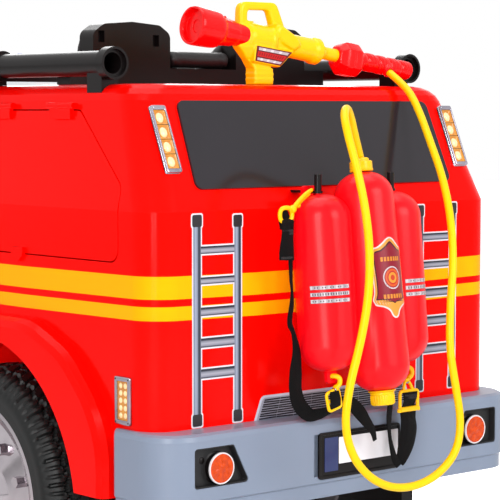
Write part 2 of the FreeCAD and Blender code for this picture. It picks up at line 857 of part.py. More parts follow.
column_x = 105.0
wheel_centre_y = post_y + 112.0
wheel_centre_z = 470.0
column_tilt = 45.0
column_radius = 8.0
column_length = 330.0
steering_radius = 92.0
steering_rim = 11.0
dash_half = 249.0
dash_low_z = belt_z - 190.0
dash_knee_z = belt_z - 90.0
dash_lip_z = belt_z - 30.0
dash_foot = 40.0
spoke_turns = (0, 90, 180)
spoke_radius = 8.0
steering_hub_radius = 28.0
steering_hub_depth = 15.0
column_axis = vec(0, math.cos(math.radians(column_tilt)), math.sin(math.radians(column_tilt)))
wheel_centre = vec(column_x, wheel_centre_y, wheel_centre_z)


def make_dashboard():
    """Dashboard moulding across the cabin, with the column's hole."""
    top_z = belt_z - deck_thickness - gap
    outline = [(post_y, dash_lip_z), (post_y - skin * 2, top_z), (cowl_y + gap, top_z), (cowl_y + gap, dash_low_z),
               (cowl_y + dash_foot, dash_low_z), (post_y + deck_thickness, dash_knee_z)]
    dash = prism_x(outline, [skin, skin * 2, 0, 0, skin, skin * 2], -dash_half, dash_half)
    hole = rod(column_radius + gap, wheel_centre - column_axis * column_length * 2, wheel_centre + column_axis)
    return dash.cut(hole)


def make_steering_wheel():
    """Steering wheel with three spokes, hub and column."""
    rim = Part.makeTorus(steering_radius - steering_rim, steering_rim, wheel_centre, column_axis)
    hub = rod(steering_hub_radius, wheel_centre - column_axis * steering_hub_depth,
              wheel_centre + column_axis * steering_rim)
    column = rod(column_radius, wheel_centre - column_axis * column_length, wheel_centre)
    up = column_axis.cross(X_AXIS)
    spokes = []
    for turn in spoke_turns:
        out = X_AXIS * math.cos(math.radians(turn)) + up * math.sin(math.radians(turn))
        spokes.append(rod(spoke_radius, wheel_centre, wheel_centre + out * (steering_radius - steering_rim)))
    return fuse([rim, hub, column] + spokes)


# Seat

seat_front_y = seat_back_y - seat_depth
back_thickness = 30.0
hump_middle_x = 120.0
hump_half = 63.0
hump_top_z = 782.0
hump_crown = [(1.0, 15.0), (0.72, 3.5), (0.0, 0.0)]
hump_corner = 12.0
saddle_z = 722.0
pocket_places = [(170.0, 762.0), (81.0, 758.0)]
pocket_half = 5.0
pocket_height = 15.0
pocket_depth = 8.0
roll_radius = 12.0
roll_z = saddle_z + roll_radius + gap
ledge_half = 219.0
ledge_z = roof_z + gap
cushion_depth = 228.0
cushion_height = 40.0
backrest_depth = 20.0


def hump_outline(inset):
    """Crowned outline of the left head hump, as (x, z) places, drawn in by an inset."""
    half = hump_half - inset
    crown = [(hump_middle_x + half * share, hump_top_z - inset - drop) for share, drop in hump_crown]
    crown += [(hump_middle_x - half * share, hump_top_z - inset - drop) for share, drop in reversed(hump_crown[:-1])]
    return [(hump_middle_x - half, saddle_z - skin), (hump_middle_x + half, saddle_z - skin)] + crown


def hump_radii():
    """Corner radii of the hump outline: square at its foot, round at its crown."""
    return [0, 0] + [hump_corner] * (2 * len(hump_crown) - 1)


def make_seat_shell():
    """Moulded bench: pan, back and two head humps, hollow below the pan."""
    pan_back = seat_back_y - back_thickness
    pan = box(-cabin_half + gap, cabin_half - gap, seat_front_y, pan_back, floor_z + gap, seat_top_z)
    under = box(-cabin_half + gap + skin, cabin_half - gap - skin, seat_front_y + skin, pan_back - skin,
                floor_z - overrun, seat_top_z - skin)
    back = box(-cabin_half + gap, cabin_half - gap, pan_back, seat_back_y - gap, floor_z + gap, saddle_z)
    hollow = box(-cabin_half + skin * 3, cabin_half - skin * 3, pan_back + skin, seat_back_y - gap - skin,
                 floor_z - overrun, saddle_z - skin * 2)
    ledge = box(-ledge_half, ledge_half, pan_back, seat_back_y - gap, ledge_z, saddle_z)
    hump = prism_y(hump_outline(0.0), hump_radii(), pan_back, seat_back_y - gap)
    shell = fuse([pan.cut(under), back.cut(hollow), ledge, hump, mirrored(hump)])
    for x, z in pocket_places:
        pocket = box(x - pocket_half, x + pocket_half, seat_back_y - gap - pocket_depth, seat_back_y + overrun,
                     z - pocket_height / 2, z + pocket_height / 2)
        shell = cut(shell, both(pocket))
    return shell


def make_seat_cushions():
    """Two seat pads."""
    y1 = seat_back_y - back_thickness - gap
    y0 = y1 - cushion_depth
    half = (cabin_half - gap) / 2
    outline = [(skin, y0), (2 * half - skin, y0), (2 * half - skin, y1), (skin, y1)]
    return pair(prism_z(outline, skin * 4, seat_top_z + gap, seat_top_z + cushion_height))


roll_half = hump_middle_x - hump_half - skin
roll_y = seat_back_y - back_thickness / 2


def make_seat_backrests():
    """Two back pads with their head rests, and the roll that lies in the saddle between the humps."""
    y1 = seat_back_y - back_thickness - gap
    y0 = y1 - backrest_depth
    low = seat_top_z + cushion_height + gap
    inner = skin
    outer = cabin_half - gap - skin
    high = saddle_z + skin * 3
    top = hump_top_z - skin * 2
    outline = [(inner, low), (outer, low), (outer, high), (hump_middle_x + hump_half - skin, top),
               (hump_middle_x - hump_half + skin, top), (inner, high)]
    pads = pair(prism_y(outline, skin * 2, y0, y1))
    roll = rod(roll_radius, vec(-roll_half, roll_y, roll_z), vec(roll_half, roll_y, roll_z))
    return Part.makeCompound([pads, roll])


# Doors

def door_hinge_places():
    """The two hinge middles up the left door's front edge."""
    return [vec(door_hinge_x, door_hinge_y, z) for z in (door_hinge_low_z, door_hinge_high_z)]


def make_door():
    """Left door: whole thickness, shaped to the arches, with its hinge barrels."""
    outline = [(door_front_y, door_bottom_z), (door_rear_y, door_bottom_z), (door_rear_y, belt_z),
               (door_front_y, belt_z)]
    door = prism_x(outline, skin * 2, body_half - door_thickness, body_half)
    for axle_y, reaches in ((rear_axle_y, rear_reaches), (front_axle_y, front_reaches)):
        well = rod(arch_radius + well_wall + shut_gap, vec(0, axle_y, wheel_radius),
                   vec(wheel_face * 2, axle_y, wheel_radius))
        door = cut(door, [well, flare_keepout(axle_y, *reaches, door_swing_gap)])
    shapes = [door]
    for place in door_hinge_places():
        half = hinge_barrel_length / 2
        pad = box(body_half - skin / 2, place.x + hinge_barrel_radius / 2, place.y, place.y + hinge_pad_drop,
                  place.z - half, place.z + half)
        shapes.append(hinge_barrel(place, Z_AXIS, hinge_barrel_length, pad))
    return fuse(shapes)


# Wheels

hub_radius = 26.0
rim_flange = 6.0
dish_depth = 30.0
tread_shoulder = 14.0
shoulder_drop = 21.0
shoulder_mid_drop = 5.6
nut_count = 8
nut_radius = 7.5
nut_circle = 68.0
nut_low = 18.0
nut_high = 36.0


def tyre_outline():
    """Half section of a tyre as (radius, across) places."""
    half = tyre_width / 2
    bead = rim_radius - rim_flange
    one_side = [(wheel_radius, half - tread_shoulder), (wheel_radius - shoulder_mid_drop, half - tread_shoulder / 2),
                (wheel_radius - shoulder_drop, half), (rim_radius + rim_flange, half), (bead, half - tread_shoulder)]
    return [(radius, -across) for radius, across in reversed(one_side)] + one_side


def make_tyre(side, axle_y):
    """Tyre about its axle; side is +1 on the left."""
    centre = vec(side * wheel_x, axle_y, wheel_radius)
    return revolved(tyre_outline(), centre, X_AXIS, Z_AXIS)


def make_rim(side, axle_y):
    """Deep-dished wheel: barrel, dished disc and hub with its bore."""
    half = tyre_width / 2
    barrel = rim_radius - rim_flange - running_gap
    bore = axle_radius + running_gap
    outline = [(barrel, -half + tread_shoulder), (barrel, half - tread_shoulder),
               (rim_radius + rim_flange - running_gap, half - running_gap), (rim_radius, half),
               (barrel - skin, half - skin), (barrel - skin * 3, half - dish_depth),
               (hub_radius + skin * 3, half - dish_depth + skin * 2), (hub_radius, half - skin * 2),
               (bore, half - skin * 2), (bore, -half + skin), (hub_radius - skin, -half + skin),
               (hub_radius - skin, half - dish_depth - skin), (barrel - skin * 4, half - dish_depth - skin),
               (barrel - skin, -half + tread_shoulder)]
    centre = vec(side * wheel_x, axle_y, wheel_radius)
    shapes = [revolved(outline, centre, X_AXIS * side, Z_AXIS)]
    for index in range(nut_count):
        turn = math.radians(360) * (index + 0.5) / nut_count
        place = centre + (Y_AXIS * math.cos(turn) + Z_AXIS * math.sin(turn)) * nut_circle
        shapes.append(hex_nut(place + X_AXIS * (side * nut_low), turn, X_AXIS * (side * (nut_high - nut_low))))
    return fuse(shapes)


def hex_nut(place, turn, along):
    """Hexagonal nut with one flat towards its wheel's centre."""
    corners = []
    for index in range(6):
        angle = turn + math.radians(60) * (index + 0.5)
        corners.append(place + (Y_AXIS * math.cos(angle) + Z_AXIS * math.sin(angle)) * nut_radius)
    return prism(corners, 0, along)


# Axles, steering knuckles and drive

beam_tube = 20.0
kingpin_radius = 6.0
knuckle_radius = 13.0
knuckle_low_z = 138.0
knuckle_high_z = 200.0
yoke_thickness = 9.0
axle_nut_radius = 10.0
axle_nut_length = 8.0


def axle_end_x():
    """Where an axle's nut starts, just outside the hub."""
    return wheel_face - skin * 2 + gap


def make_rear_axle():
    """Steel axle through the beams, with a nut at each end."""
    end = axle_end_x()
    axle = rod(axle_radius, vec(-end, rear_axle_y, wheel_radius), vec(end, rear_axle_y, wheel_radius))
    nut = rod(axle_nut_radius, vec(end, rear_axle_y, wheel_radius),
              vec(end + axle_nut_length, rear_axle_y, wheel_radius))
    return fuse([axle, nut, mirrored(nut)])


def make_front_beam():
    """Front axle beam with a yoke and a kingpin at each end."""
    half = beam_tube / 2
    inner = kingpin_x - knuckle_radius - gap
    beam = box(-inner + half, inner - half, front_axle_y - half, front_axle_y + half, wheel_radius - half,
               wheel_radius + half)
    shapes = [beam]
    for side in (1, -1):
        centre = vec(side * kingpin_x, front_axle_y, 0)
        for low in (knuckle_low_z - gap - yoke_thickness, knuckle_high_z + gap):
            arm = rod(knuckle_radius, centre + Z_AXIS * low, centre + Z_AXIS * (low + yoke_thickness))
            web = box(inner - half - half, kingpin_x, front_axle_y - half, front_axle_y + half, low,
                      low + yoke_thickness)
            shapes += [arm, web if side > 0 else mirrored(web)]
        post = box(inner - half - half, inner - half, front_axle_y - half, front_axle_y + half,
                   knuckle_low_z - gap - yoke_thickness, knuckle_high_z + gap + yoke_thickness)
        shapes.append(post if side > 0 else mirrored(post))
        shapes.append(rod(kingpin_radius, centre + Z_AXIS * (knuckle_low_z - gap - yoke_thickness),
                          centre + Z_AXIS * (knuckle_high_z + gap + yoke_thickness)))
    return fuse(shapes)


rod_pin_radius = 4.0
rod_eye_clearance = 4.5
rod_thickness = 6.0
arm_thickness = 8.0
arm_half = 7.8
arm_z = knuckle_low_z


def make_knuckle(side):
    """Steering knuckle: sleeve, stub axle with nut, and steering arm with its pin."""
    centre = vec(side * kingpin_x, front_axle_y, 0)
    sleeve = rod(knuckle_radius, centre + Z_AXIS * knuckle_low_z, centre + Z_AXIS * knuckle_high_z)
    axis_start = centre + Z_AXIS * wheel_radius
    end = vec(side * axle_end_x(), front_axle_y, wheel_radius)
    stub = rod(axle_radius, axis_start, end)
    nut = rod(axle_nut_radius, end, end + X_AXIS * (side * axle_nut_length))
    arm = box(side * kingpin_x - arm_half, side * kingpin_x + arm_half, front_axle_y,
              front_axle_y + steering_arm + arm_half, arm_z, arm_z + arm_thickness)
    pin_foot = centre + vec(0, steering_arm, arm_z - rod_thickness - gap * 2)
    pin = rod(rod_pin_radius, pin_foot, pin_foot + Z_AXIS * (rod_thickness + gap * 2 + arm_thickness))
    body = fuse([sleeve, stub, nut, arm, pin])
    return body.cut(rod(kingpin_radius + running_gap / 2, centre, centre + Z_AXIS * wheel_radius * 2))


def make_tie_rod():
    """Tie rod between the steering arms, with wide eyes for the arms' swing."""
    eye = rod_pin_radius + rod_eye_clearance
    low = arm_z - rod_thickness - gap
    y = front_axle_y + steering_arm
    half = rod_pin_radius * 2
    shapes = [box(-kingpin_x, kingpin_x, y - half, y + half, low, low + rod_thickness)]
    for side in (1, -1):
        shapes.append(rod(eye + skin, vec(side * kingpin_x, y, low), vec(side * kingpin_x, y, low + rod_thickness)))
    tie = fuse(shapes)
    holes = [rod(eye, vec(side * kingpin_x, y, low - overrun), vec(side * kingpin_x, y, low + overrun))
             for side in (1, -1)]
    return cut(tie, holes)


motor_radius = 20.0
gearbox_radius = 32.0
motor_setback = 51.0


def make_drive_motors():
    """Gearbox and motor beside each rear wheel."""
    top = tray_z - tray_thickness - gap
    inner = beam_x + beam_width + gap
    outer = tray_rear_half - gap
    case = rod(gearbox_radius, vec(inner, rear_axle_y, wheel_radius - motor_radius / 2),
               vec(outer, rear_axle_y, wheel_radius - motor_radius / 2))
    lobe_y = rear_axle_y - motor_setback
    lobe = rod(motor_radius, vec(inner, lobe_y, top - motor_radius), vec(outer, lobe_y, top - motor_radius))
    link = box(inner, outer, lobe_y, rear_axle_y, top - motor_radius * 2, top)
    case = fuse([case, lobe, link])
    case = case.cut(box(0, wheel_face, lobe_y - overrun, rear_axle_y + gearbox_radius * 2, top, top + wheel_radius))
    case = case.cut(rod(axle_radius + running_gap, vec(0, rear_axle_y, wheel_radius),
                        vec(wheel_face, rear_axle_y, wheel_radius)))
    return pair(case)


battery_half = 75.0
battery_setback = 40.0
battery_length = 110.0
battery_height = 95.0


def make_battery():
    """Sealed battery under the seat, one plain block."""
    front = seat_front_y + battery_setback
    return box(-battery_half, battery_half, front, front + battery_length, floor_z + gap, floor_z + battery_height)


# Water tanks, hooks and straps

hook_x = 62.0
hook_z = 566.0
hook_blade_half = 6.0
hook_blade_thickness = 3.0
hook_peg_radius = 4.5
hook_peg_height = 20.0
hook_out = 35.0
hook_peg_y = rear_y + hook_out
tank_lean = 8.0
tank_set_out = 31.0
tank_y = hook_peg_y + tank_set_out
tank_radius = 37.0
tank_rise = 26.0
tank_length = 270.0
tank_high_z = hook_z + tank_rise
tank_low_z = tank_high_z - tank_length
tank_pivot_rise = 133.0
tank_middle_z = tank_low_z + tank_pivot_rise
side_tank_lean = 5.5
side_tank_x = 60.0
side_tank_set_in = 20.0
side_tank_y = tank_y - side_tank_set_in
side_tank_radius = 37.0
side_tank_drop = 1.0
side_tank_length = 215.0
side_tank_high_z = hook_z - side_tank_drop
side_tank_low_z = side_tank_high_z - side_tank_length
tank_shoulder_share = 0.85
tank_collar_radius = 12.0
cap_radius = 15.0
cap_height = 17.0
lug_thickness = 5.0
lug_half = 13.0
lug_eye_half = 8.0
lug_set_in = 14.5
lug_root_drop = 14.0
lug_eye_drop = 5.0
lug_top_rise = 9.0
lug_y = hook_peg_y - lug_set_in
lug_root_z = hook_z - lug_root_drop
lug_eye_z = hook_z - lug_eye_drop
lug_top_z = hook_z + lug_top_rise
low_lug_half = 8.0
low_lug_drop = 15.0
low_lug_eye = 3.5


def leaning(shape, y, lean):
    """Tip a tank piece back towards the body about its middle height."""
    shape.rotate(vec(0, y, tank_middle_z), X_AXIS, lean)
    return shape


def bottle(x, y, radius, low, high):
    """Upright bottle with domed ends."""
    shoulder = radius * tank_shoulder_share
    neck = radius - shoulder
    share = math.sqrt(0.5)
    low_centre = vec(x + neck, y, low + shoulder)
    high_centre = vec(x + neck, y, high - shoulder)
    out = X_AXIS * shoulder
    up = Z_AXIS * shoulder
    start = vec(x, y, low)
    top = vec(x, y, high)
    edges = [Part.LineSegment(start, low_centre - up).toShape(),
             Part.Arc(low_centre - up, low_centre + (out - up) * share, low_centre + out).toShape(),
             Part.LineSegment(low_centre + out, high_centre + out).toShape(),
             Part.Arc(high_centre + out, high_centre + (out + up) * share, high_centre + up).toShape(),
             Part.LineSegment(high_centre + up, top).toShape(),
             Part.LineSegment(top, start).toShape()]
    return Part.Face(Part.Wire(edges)).revolve(start, Z_AXIS, 360)


def top_lug():
    """Eye on a side bottle's shoulder that hangs on the hook's blade."""
    y0 = lug_y - lug_thickness / 2
    plate = prism_y([(hook_x - lug_half, lug_root_z), (hook_x + lug_half, lug_root_z), (hook_x + lug_half, lug_top_z),
                     (hook_x - lug_half, lug_top_z)], [0, 0, skin, skin], y0, y0 + lug_thickness)
    eye_top_z = hook_z + hook_blade_thickness + gap
    eye = box(hook_x - lug_eye_half, hook_x + lug_eye_half, y0 - overrun, y0 + lug_thickness + overrun, lug_eye_z,
              eye_top_z)
    return plate.cut(eye)


def low_lug():
    """Small eye under a side bottle."""
    y0 = side_tank_y - lug_thickness / 2
    low = side_tank_low_z - low_lug_drop
    plate = prism_y([(side_tank_x - low_lug_half, low), (side_tank_x + low_lug_half, low),
                     (side_tank_x + low_lug_half, side_tank_low_z + low_lug_drop),
                     (side_tank_x - low_lug_half, side_tank_low_z + low_lug_drop)],
                    [low_lug_half / 2, low_lug_half / 2, 0, 0], y0, y0 + lug_thickness)
    eye = rod(low_lug_eye, vec(side_tank_x, y0 - overrun, low + low_lug_half), vec(side_tank_x, y0 + overrun,
                                                                                   low + low_lug_half))
    return plate.cut(eye)


def make_water_tanks():
    """Three joined bottles of the back-pack tank, with their hanging lugs."""
    middle = leaning(bottle(0, tank_y, tank_radius, tank_low_z, tank_high_z), tank_y, tank_lean)
    side = bottle(side_tank_x, side_tank_y, side_tank_radius, side_tank_low_z, side_tank_high_z)
    side = leaning(fuse([side, low_lug()]), side_tank_y, side_tank_lean)
    side = side.fuse(top_lug())
    return fuse([middle, side, mirrored(side)])


def make_tank_caps():
    """Hose collar on top and ribbed filler cap below."""
    foot = vec(0, tank_y, tank_high_z + gap)
    collar = rod(tank_collar_radius, foot, foot + Z_AXIS * cap_height)
    head = vec(0, tank_y, tank_low_z - gap)
    cap = rod(cap_radius, head - Z_AXIS * cap_height, head)
    return leaning(Part.makeCompound([collar, cap]), tank_y, tank_lean)


def make_tank_hooks():
    """Two hooks under the rear window: a flat blade out of the wall with an upturned peg."""
    blade_top = hook_z + hook_blade_thickness
    blade = box(hook_x - hook_blade_half, hook_x + hook_blade_half, rear_y - rear_lean, hook_peg_y, hook_z, blade_top)
    tip = rod(hook_blade_half, vec(hook_x, hook_peg_y, hook_z), vec(hook_x, hook_peg_y, blade_top))
    peg = rod(hook_peg_radius, vec(hook_x, hook_peg_y, hook_z), vec(hook_x, hook_peg_y, blade_top + hook_peg_height))
    hook = fuse([blade, tip, peg]).cut(rear_block(-gap, sill_z))
    return pair(hook)


strap_thickness = 1.6
strap_set_out = 5.0
loop_set_out = 19.0
strap_y = hook_peg_y + strap_set_out
loop_y = side_tank_y + loop_set_out
left_strap = [(118.2, 528.7, 17.0), (118.2, 486.0, 17.0), (113.4, 484.0, 9.0), (109.5, 456.0, 8.0), (108.5, 443.0, 7.0),
              (109.5, 423.0, 9.0), (111.0, 405.0, 11.0), (104.0, 383.0, 15.0), (104.5, 346.0, 16.0),
              (101.0, 322.0, 16.0), (95.0, 300.0, 17.0)]
low_strap = [(27.0, 310.0, 15.0), (18.0, 296.0, 15.0), (0.0, 276.0, 13.0), (-7.0, 252.0, 8.0)]
right_strap = [(-66.0, 291.7, 24.0), (-66.0, 280.0, 24.0), (-63.0, 262.0, 24.0), (-56.0, 240.0, 20.0), (-50.0, 228.0, 12.0)]
thin_strap = [(-30.0, 303.0, 8.0), (-28.0, 284.0, 11.0), (-29.0, 262.0, 7.0), (-36.0, 246.0, 7.0), (-45.0, 232.0, 10.0)]
buckle_bar = 4.0
snap_bar = 2.5
ring_width = 24.0
left_ring_x = 114.0
left_ring_drop = 25.0
left_snap_rise = 7.0
low_ring_x = 48.0
low_ring_drop = 37.0
low_ring_width = 26.0
low_ring_height = 22.0
right_buckle_x = -66.0
right_buckle_drop = 46.0
right_buckle_width = 34.0
snap_clearance = 4.1
snap_rise = 4.0
snap_low_drop = 5.0
snap_set_out = 17.8


def webbing(stations, y):
    """Flat strap through (x, z, width) stations, hanging across the toy."""
    left = [(x + width / 2, z) for x, z, width in stations]
    right = [(x - width / 2, z) for x, z, width in reversed(stations)]
    return prism_y(left + right, 0, y, y + strap_thickness)


def make_tank_straps():
    """Webbing that hangs from the tank: one long strap on the left, shorter ends below it."""
    shapes = [webbing(left_strap, strap_y), webbing(low_strap, loop_y)]
    shapes += [webbing(right_strap, loop_y), webbing(thin_strap, loop_y + strap_thickness)]
    return Part.makeCompound(shapes)


def buckle_frame(x, z, width, height, y):
    """Rounded rectangular ring standing across the toy."""
    def outline(inset):
        half = width / 2 - inset
        rise = height / 2 - inset
        return [(x - half, z - rise), (x + half, z - rise), (x + half, z + rise), (x - half, z + rise)]
    ring = prism_y(outline(0.0), buckle_bar, y - buckle_bar / 2, y + buckle_bar / 2)
    return ring.cut(prism_y(outline(buckle_bar), buckle_bar / 2, y - buckle_bar, y + buckle_bar))


def snap_hook(start, end):
    """Straight snap hook between two places, with a knob at each end."""
    along = end - start
    along.normalize()
    shank = rod(snap_bar, start, end)
    return fuse([shank, rod(snap_bar * 2, start - along * snap_bar, start + along * snap_bar * 2),
                 rod(snap_bar * 1.5, end - along * snap_bar * 2, end)])


def make_strap_buckles():
    """Rings and snap hooks that join the webbing to the tank's lugs."""
    mid_strap = strap_y + strap_thickness / 2
    mid_loop = loop_y + strap_thickness / 2
    left_ring_z = hook_z - left_ring_drop
    low_ring_z = side_tank_low_z - low_ring_drop
    right_buckle_z = side_tank_low_z - right_buckle_drop
    shapes = [buckle_frame(left_ring_x, left_ring_z, ring_width, ring_width, mid_strap),
              buckle_frame(low_ring_x, low_ring_z, low_ring_width, low_ring_height, mid_loop),
              buckle_frame(right_buckle_x, right_buckle_z, right_buckle_width, ring_width, mid_loop)]
    shapes.append(snap_hook(vec(left_ring_x - ring_width / 2, mid_strap, left_ring_z + left_snap_rise),
                            vec(hook_x + lug_half + snap_clearance, lug_y, hook_z + snap_rise)))
    lug_front_y = side_tank_y + snap_set_out
    lug_eye_low_z = side_tank_low_z - low_lug_drop + low_lug_half - snap_low_drop
    low_bar_z = low_ring_z + low_ring_height / 2 - buckle_bar / 2
    right_bar_z = right_buckle_z + ring_width / 2 - buckle_bar / 2
    for x, z, end_x in ((low_ring_x, low_bar_z, side_tank_x), (right_buckle_x, right_bar_z, -side_tank_x)):
        shapes.append(snap_hook(vec(x, mid_loop, z), vec(end_x, lug_front_y, lug_eye_low_z)))
    return Part.makeCompound(shapes)


# Water gun standing on the roof

gun_y = 460.0
gun_tilt = 7.8
gun_half = 10.0
gun_foot_x = 39.0
gun_foot_half = 16.5
gun_stalk_z = 719.0
gun_barrel_x = 79.0
gun_barrel_z = 762.0
gun_body_radius = 15.0
gun_body_end_x = -60.0
gun_ring_radius = 16.5
gun_sleeve_radius = 17.5
gun_ring_length = 14.0
gun_tube_radius = 8.5
gun_tube_end_x = -96.0
gun_top_left_z = 779.0
gun_right_x = -10.0
gun_right_z = 740.0
nozzle_face_x = 150.0
nozzle_radius = 24.5
nozzle_outline = [(0.0, 0.56), (0.17, 0.58), (0.20, 0.62), (0.46, 0.72), (0.53, 0.90), (0.64, 0.96), (0.95, 1.0),
                  (1.0, 0.95)]
nozzle_face = [(1.0, 0.80), (0.96, 0.78), (0.96, 0.60), (0.985, 0.58), (0.985, 0.34), (0.90, 0.30)]
nozzle_seat_x = 66.0
grip_radius = 12.5
grip_end_x = -226.0
block_x0 = gun_tube_end_x
block_x1 = -131.0
block_half = 20.0
block_side_share = 0.85
block_chamfer_share = 0.45
block_front_share = 0.72
block_rear_share = 0.75
grip_core_share = 0.88
grip_ribs = 4
grip_rib_share = 0.62
handle_outer = [(76.0, 776.0), (74.0, 803.0), (15.0, 803.5), (-4.0, 750.0)]
handle_inner = [(64.0, 770.0), (64.0, 793.5), (23.0, 793.5), (8.0, 755.0)]
handle_half = 5.5
handle_round = 8.0
gun_axis = vec(math.cos(math.radians(gun_tilt)), 0, math.sin(math.radians(gun_tilt)))


def gun_point(x, rise):
    """Place on the gun's centre line at this x, moved up across it by a rise."""
    z = gun_barrel_z + (x - gun_barrel_x) * math.tan(math.radians(gun_tilt))
    return vec(x, gun_y, z) + vec(-gun_axis.z, 0, gun_axis.x) * rise


def make_gun_body():
    """Yellow housing on its foot, with the stepped barrel behind it and the carry loop over it."""
    barrel = rod(gun_body_radius, gun_point(gun_body_end_x, 0), gun_point(gun_foot_x, 0))
    ring = rod(gun_ring_radius, gun_point(gun_body_end_x, 0), gun_point(gun_body_end_x + gun_ring_length, 0))
    tube = rod(gun_tube_radius, gun_point(gun_tube_end_x, 0), gun_point(gun_body_end_x, 0))
    foot_z = roof_z + gap
    outline = [(gun_foot_x - gun_foot_half, foot_z), (gun_foot_x + gun_foot_half, foot_z),
               (gun_foot_x + gun_foot_half, gun_stalk_z), (gun_barrel_x, gun_barrel_z - gun_body_radius),
               (gun_barrel_x, gun_top_left_z), (gun_right_x, gun_barrel_z), (gun_right_x, gun_right_z),
               (gun_foot_x - gun_foot_half, gun_stalk_z)]
    radii = [0, 0, skin, skin, skin, skin, skin, skin]
    housing = prism_y(outline, radii, gun_y - gun_half, gun_y + gun_half)
    sleeve = rod(gun_sleeve_radius, gun_point(gun_foot_x - gun_foot_half, 0), gun_point(gun_barrel_x, 0))
    handle = prism_y(handle_outer, [0, handle_round, handle_round, 0], gun_y - handle_half, gun_y + handle_half)
    handle = handle.cut(prism_y(handle_inner, handle_round / 2, gun_y - gun_half * 2, gun_y + gun_half * 2))
    body = fuse([barrel, ring, tube, housing, sleeve, handle])
    seat = rod(nozzle_radius * nozzle_outline[1][1] + gap, gun_point(nozzle_seat_x, 0), gun_point(nozzle_face_x, 0))
    return body.cut(seat)


def make_gun_nozzle():
    """Red bell nozzle on a tapered neck, with a stepped face and its bore."""
    start = gun_point(nozzle_seat_x + gap, 0)
    length = (nozzle_face_x - nozzle_seat_x) / gun_axis.x
    profile = nozzle_outline + nozzle_face
    outline = [(0, 0)] + [(nozzle_radius * out, length * along) for along, out in profile]
    outline.append((0, length * nozzle_face[-1][0]))
    return revolved(outline, start, gun_axis, Y_AXIS)


hose_radius = 5.0
hose_start_x = -178.0
hose_start_out = 5.0
hose_fall = 0.6
hose_socket_radius = 8.0


def hose_exit():
    """Where the hose leaves the grip's socket, and the way it points."""
    out = vec(0, math.cos(hose_fall), -math.sin(hose_fall))
    return gun_point(hose_start_x, 0) + out * (grip_radius + hose_start_out), out


def make_gun_grip():
    """Red pump grip: a chamfered block, then a ribbed handle."""
    corner = block_half * block_chamfer_share
    side = block_half * block_side_share
    outline = [(side, -block_half + corner), (side, block_half - corner), (side - corner, block_half),
               (corner - side, block_half), (-side, block_half - corner), (-side, corner - block_half),
               (corner - side, -block_half), (side - corner, -block_half)]
    sections = []
    stations = [(block_x0, block_front_share), (block_x0 - corner, 1.0), (block_x1 + corner, 1.0),
                (block_x1, block_rear_share)]
    for x, share in stations:
        points = [gun_point(x, rise * share) + Y_AXIS * (across * share) for across, rise in outline]
        sections.append(Part.makePolygon(points + [points[0]]))
    block = Part.makeLoft(sections, True, True)
    shapes = [block, rod(grip_radius * grip_core_share, gun_point(block_x1 + corner, 0), gun_point(grip_end_x, 0))]
    run = (block_x1 - grip_end_x) / (grip_ribs + 0.5)
    for index in range(grip_ribs):
        x = block_x1 - run * (index + 0.5)
        shapes.append(rod(grip_radius, gun_point(x, 0), gun_point(x - run * grip_rib_share, 0)))
    mouth, out = hose_exit()
    shapes.append(rod(hose_socket_radius, mouth - out * (grip_radius + hose_start_out), mouth))
    return fuse(shapes).cut(rod(gun_tube_radius + gap, gun_point(block_x0 - gap, 0), gun_point(gun_foot_x, 0)))


# Hose: a free length from the gun's grip, down behind the tank and up to its collar

hose_route = [(-177, 495, 705), (-172, 520, 690), (-163, 545, 661), (-150, 572, 627),
              (-134, 608, 581), (-118, 636, 531), (-104, 656, 478), (-93, 671, 424), (-86, 681, 370),
              (-88, 688, 322), (-92, 692, 282), (-82, 694, 246), (-52, 694, 222), (-14, 694, 211),
              (28, 694, 213), (66, 694, 229), (96, 694, 258), (111, 695, 298), (107, 696, 344),
              (92, 697, 394), (81, 697, 446), (78, 696, 500), (80, 692, 552), (83, 683, 600),
              (83, 668, 642), (72, 652, 668), (50, 637, 676), (28, 627, 664), (17, 622, 640)]


route_fillet_share = 0.45


def filleted_route(points):
    """Straight runs joined by tangent arcs, each as large as its two runs allow."""
    edges = []
    radii = []
    last = points[0]
    for index in range(1, len(points) - 1):
        corner = points[index]
        before = points[index - 1] - corner
        after = points[index + 1] - corner
        reach = route_fillet_share * min(before.Length, after.Length)
        half = before.getAngle(after) / 2
        radius = reach * math.tan(half)
        before.normalize()
        after.normalize()
        inward = before + after
        inward.normalize()
        start = corner + before * reach
        end = corner + after * reach
        middle = corner + inward * (radius / math.sin(half) - radius)
        edges.append(Part.LineSegment(last, start).toShape())
        edges.append(Part.Arc(start, middle, end).toShape())
        radii.append(round(radius, 1))
        last = end
    edges.append(Part.LineSegment(last, points[-1]).toShape())
    return Part.Wire(edges), radii


def make_hose():
    """Yellow hose along its hanging route."""
    collar_top = leaning(Part.Vertex(0, tank_y, tank_high_z + gap + cap_height), tank_y, tank_lean).Point
    start = hose_exit()[0]
    points = [start] + [vec(*place) for place in hose_route]
    points.append(collar_top)
    path, radii = filleted_route(points)
    direction = points[1] - points[0]
    ring = Part.Wire(Part.makeCircle(hose_radius, points[0], direction))
    solid = path.makePipeShell([ring], True, False)
    section = math.pi * hose_radius ** 2
    print("hose length", round(path.Length, 1), "volume share", round(solid.Volume / (section * path.Length), 4))
    print("hose radii", radii)
    return solid


# All nodes, written one file each

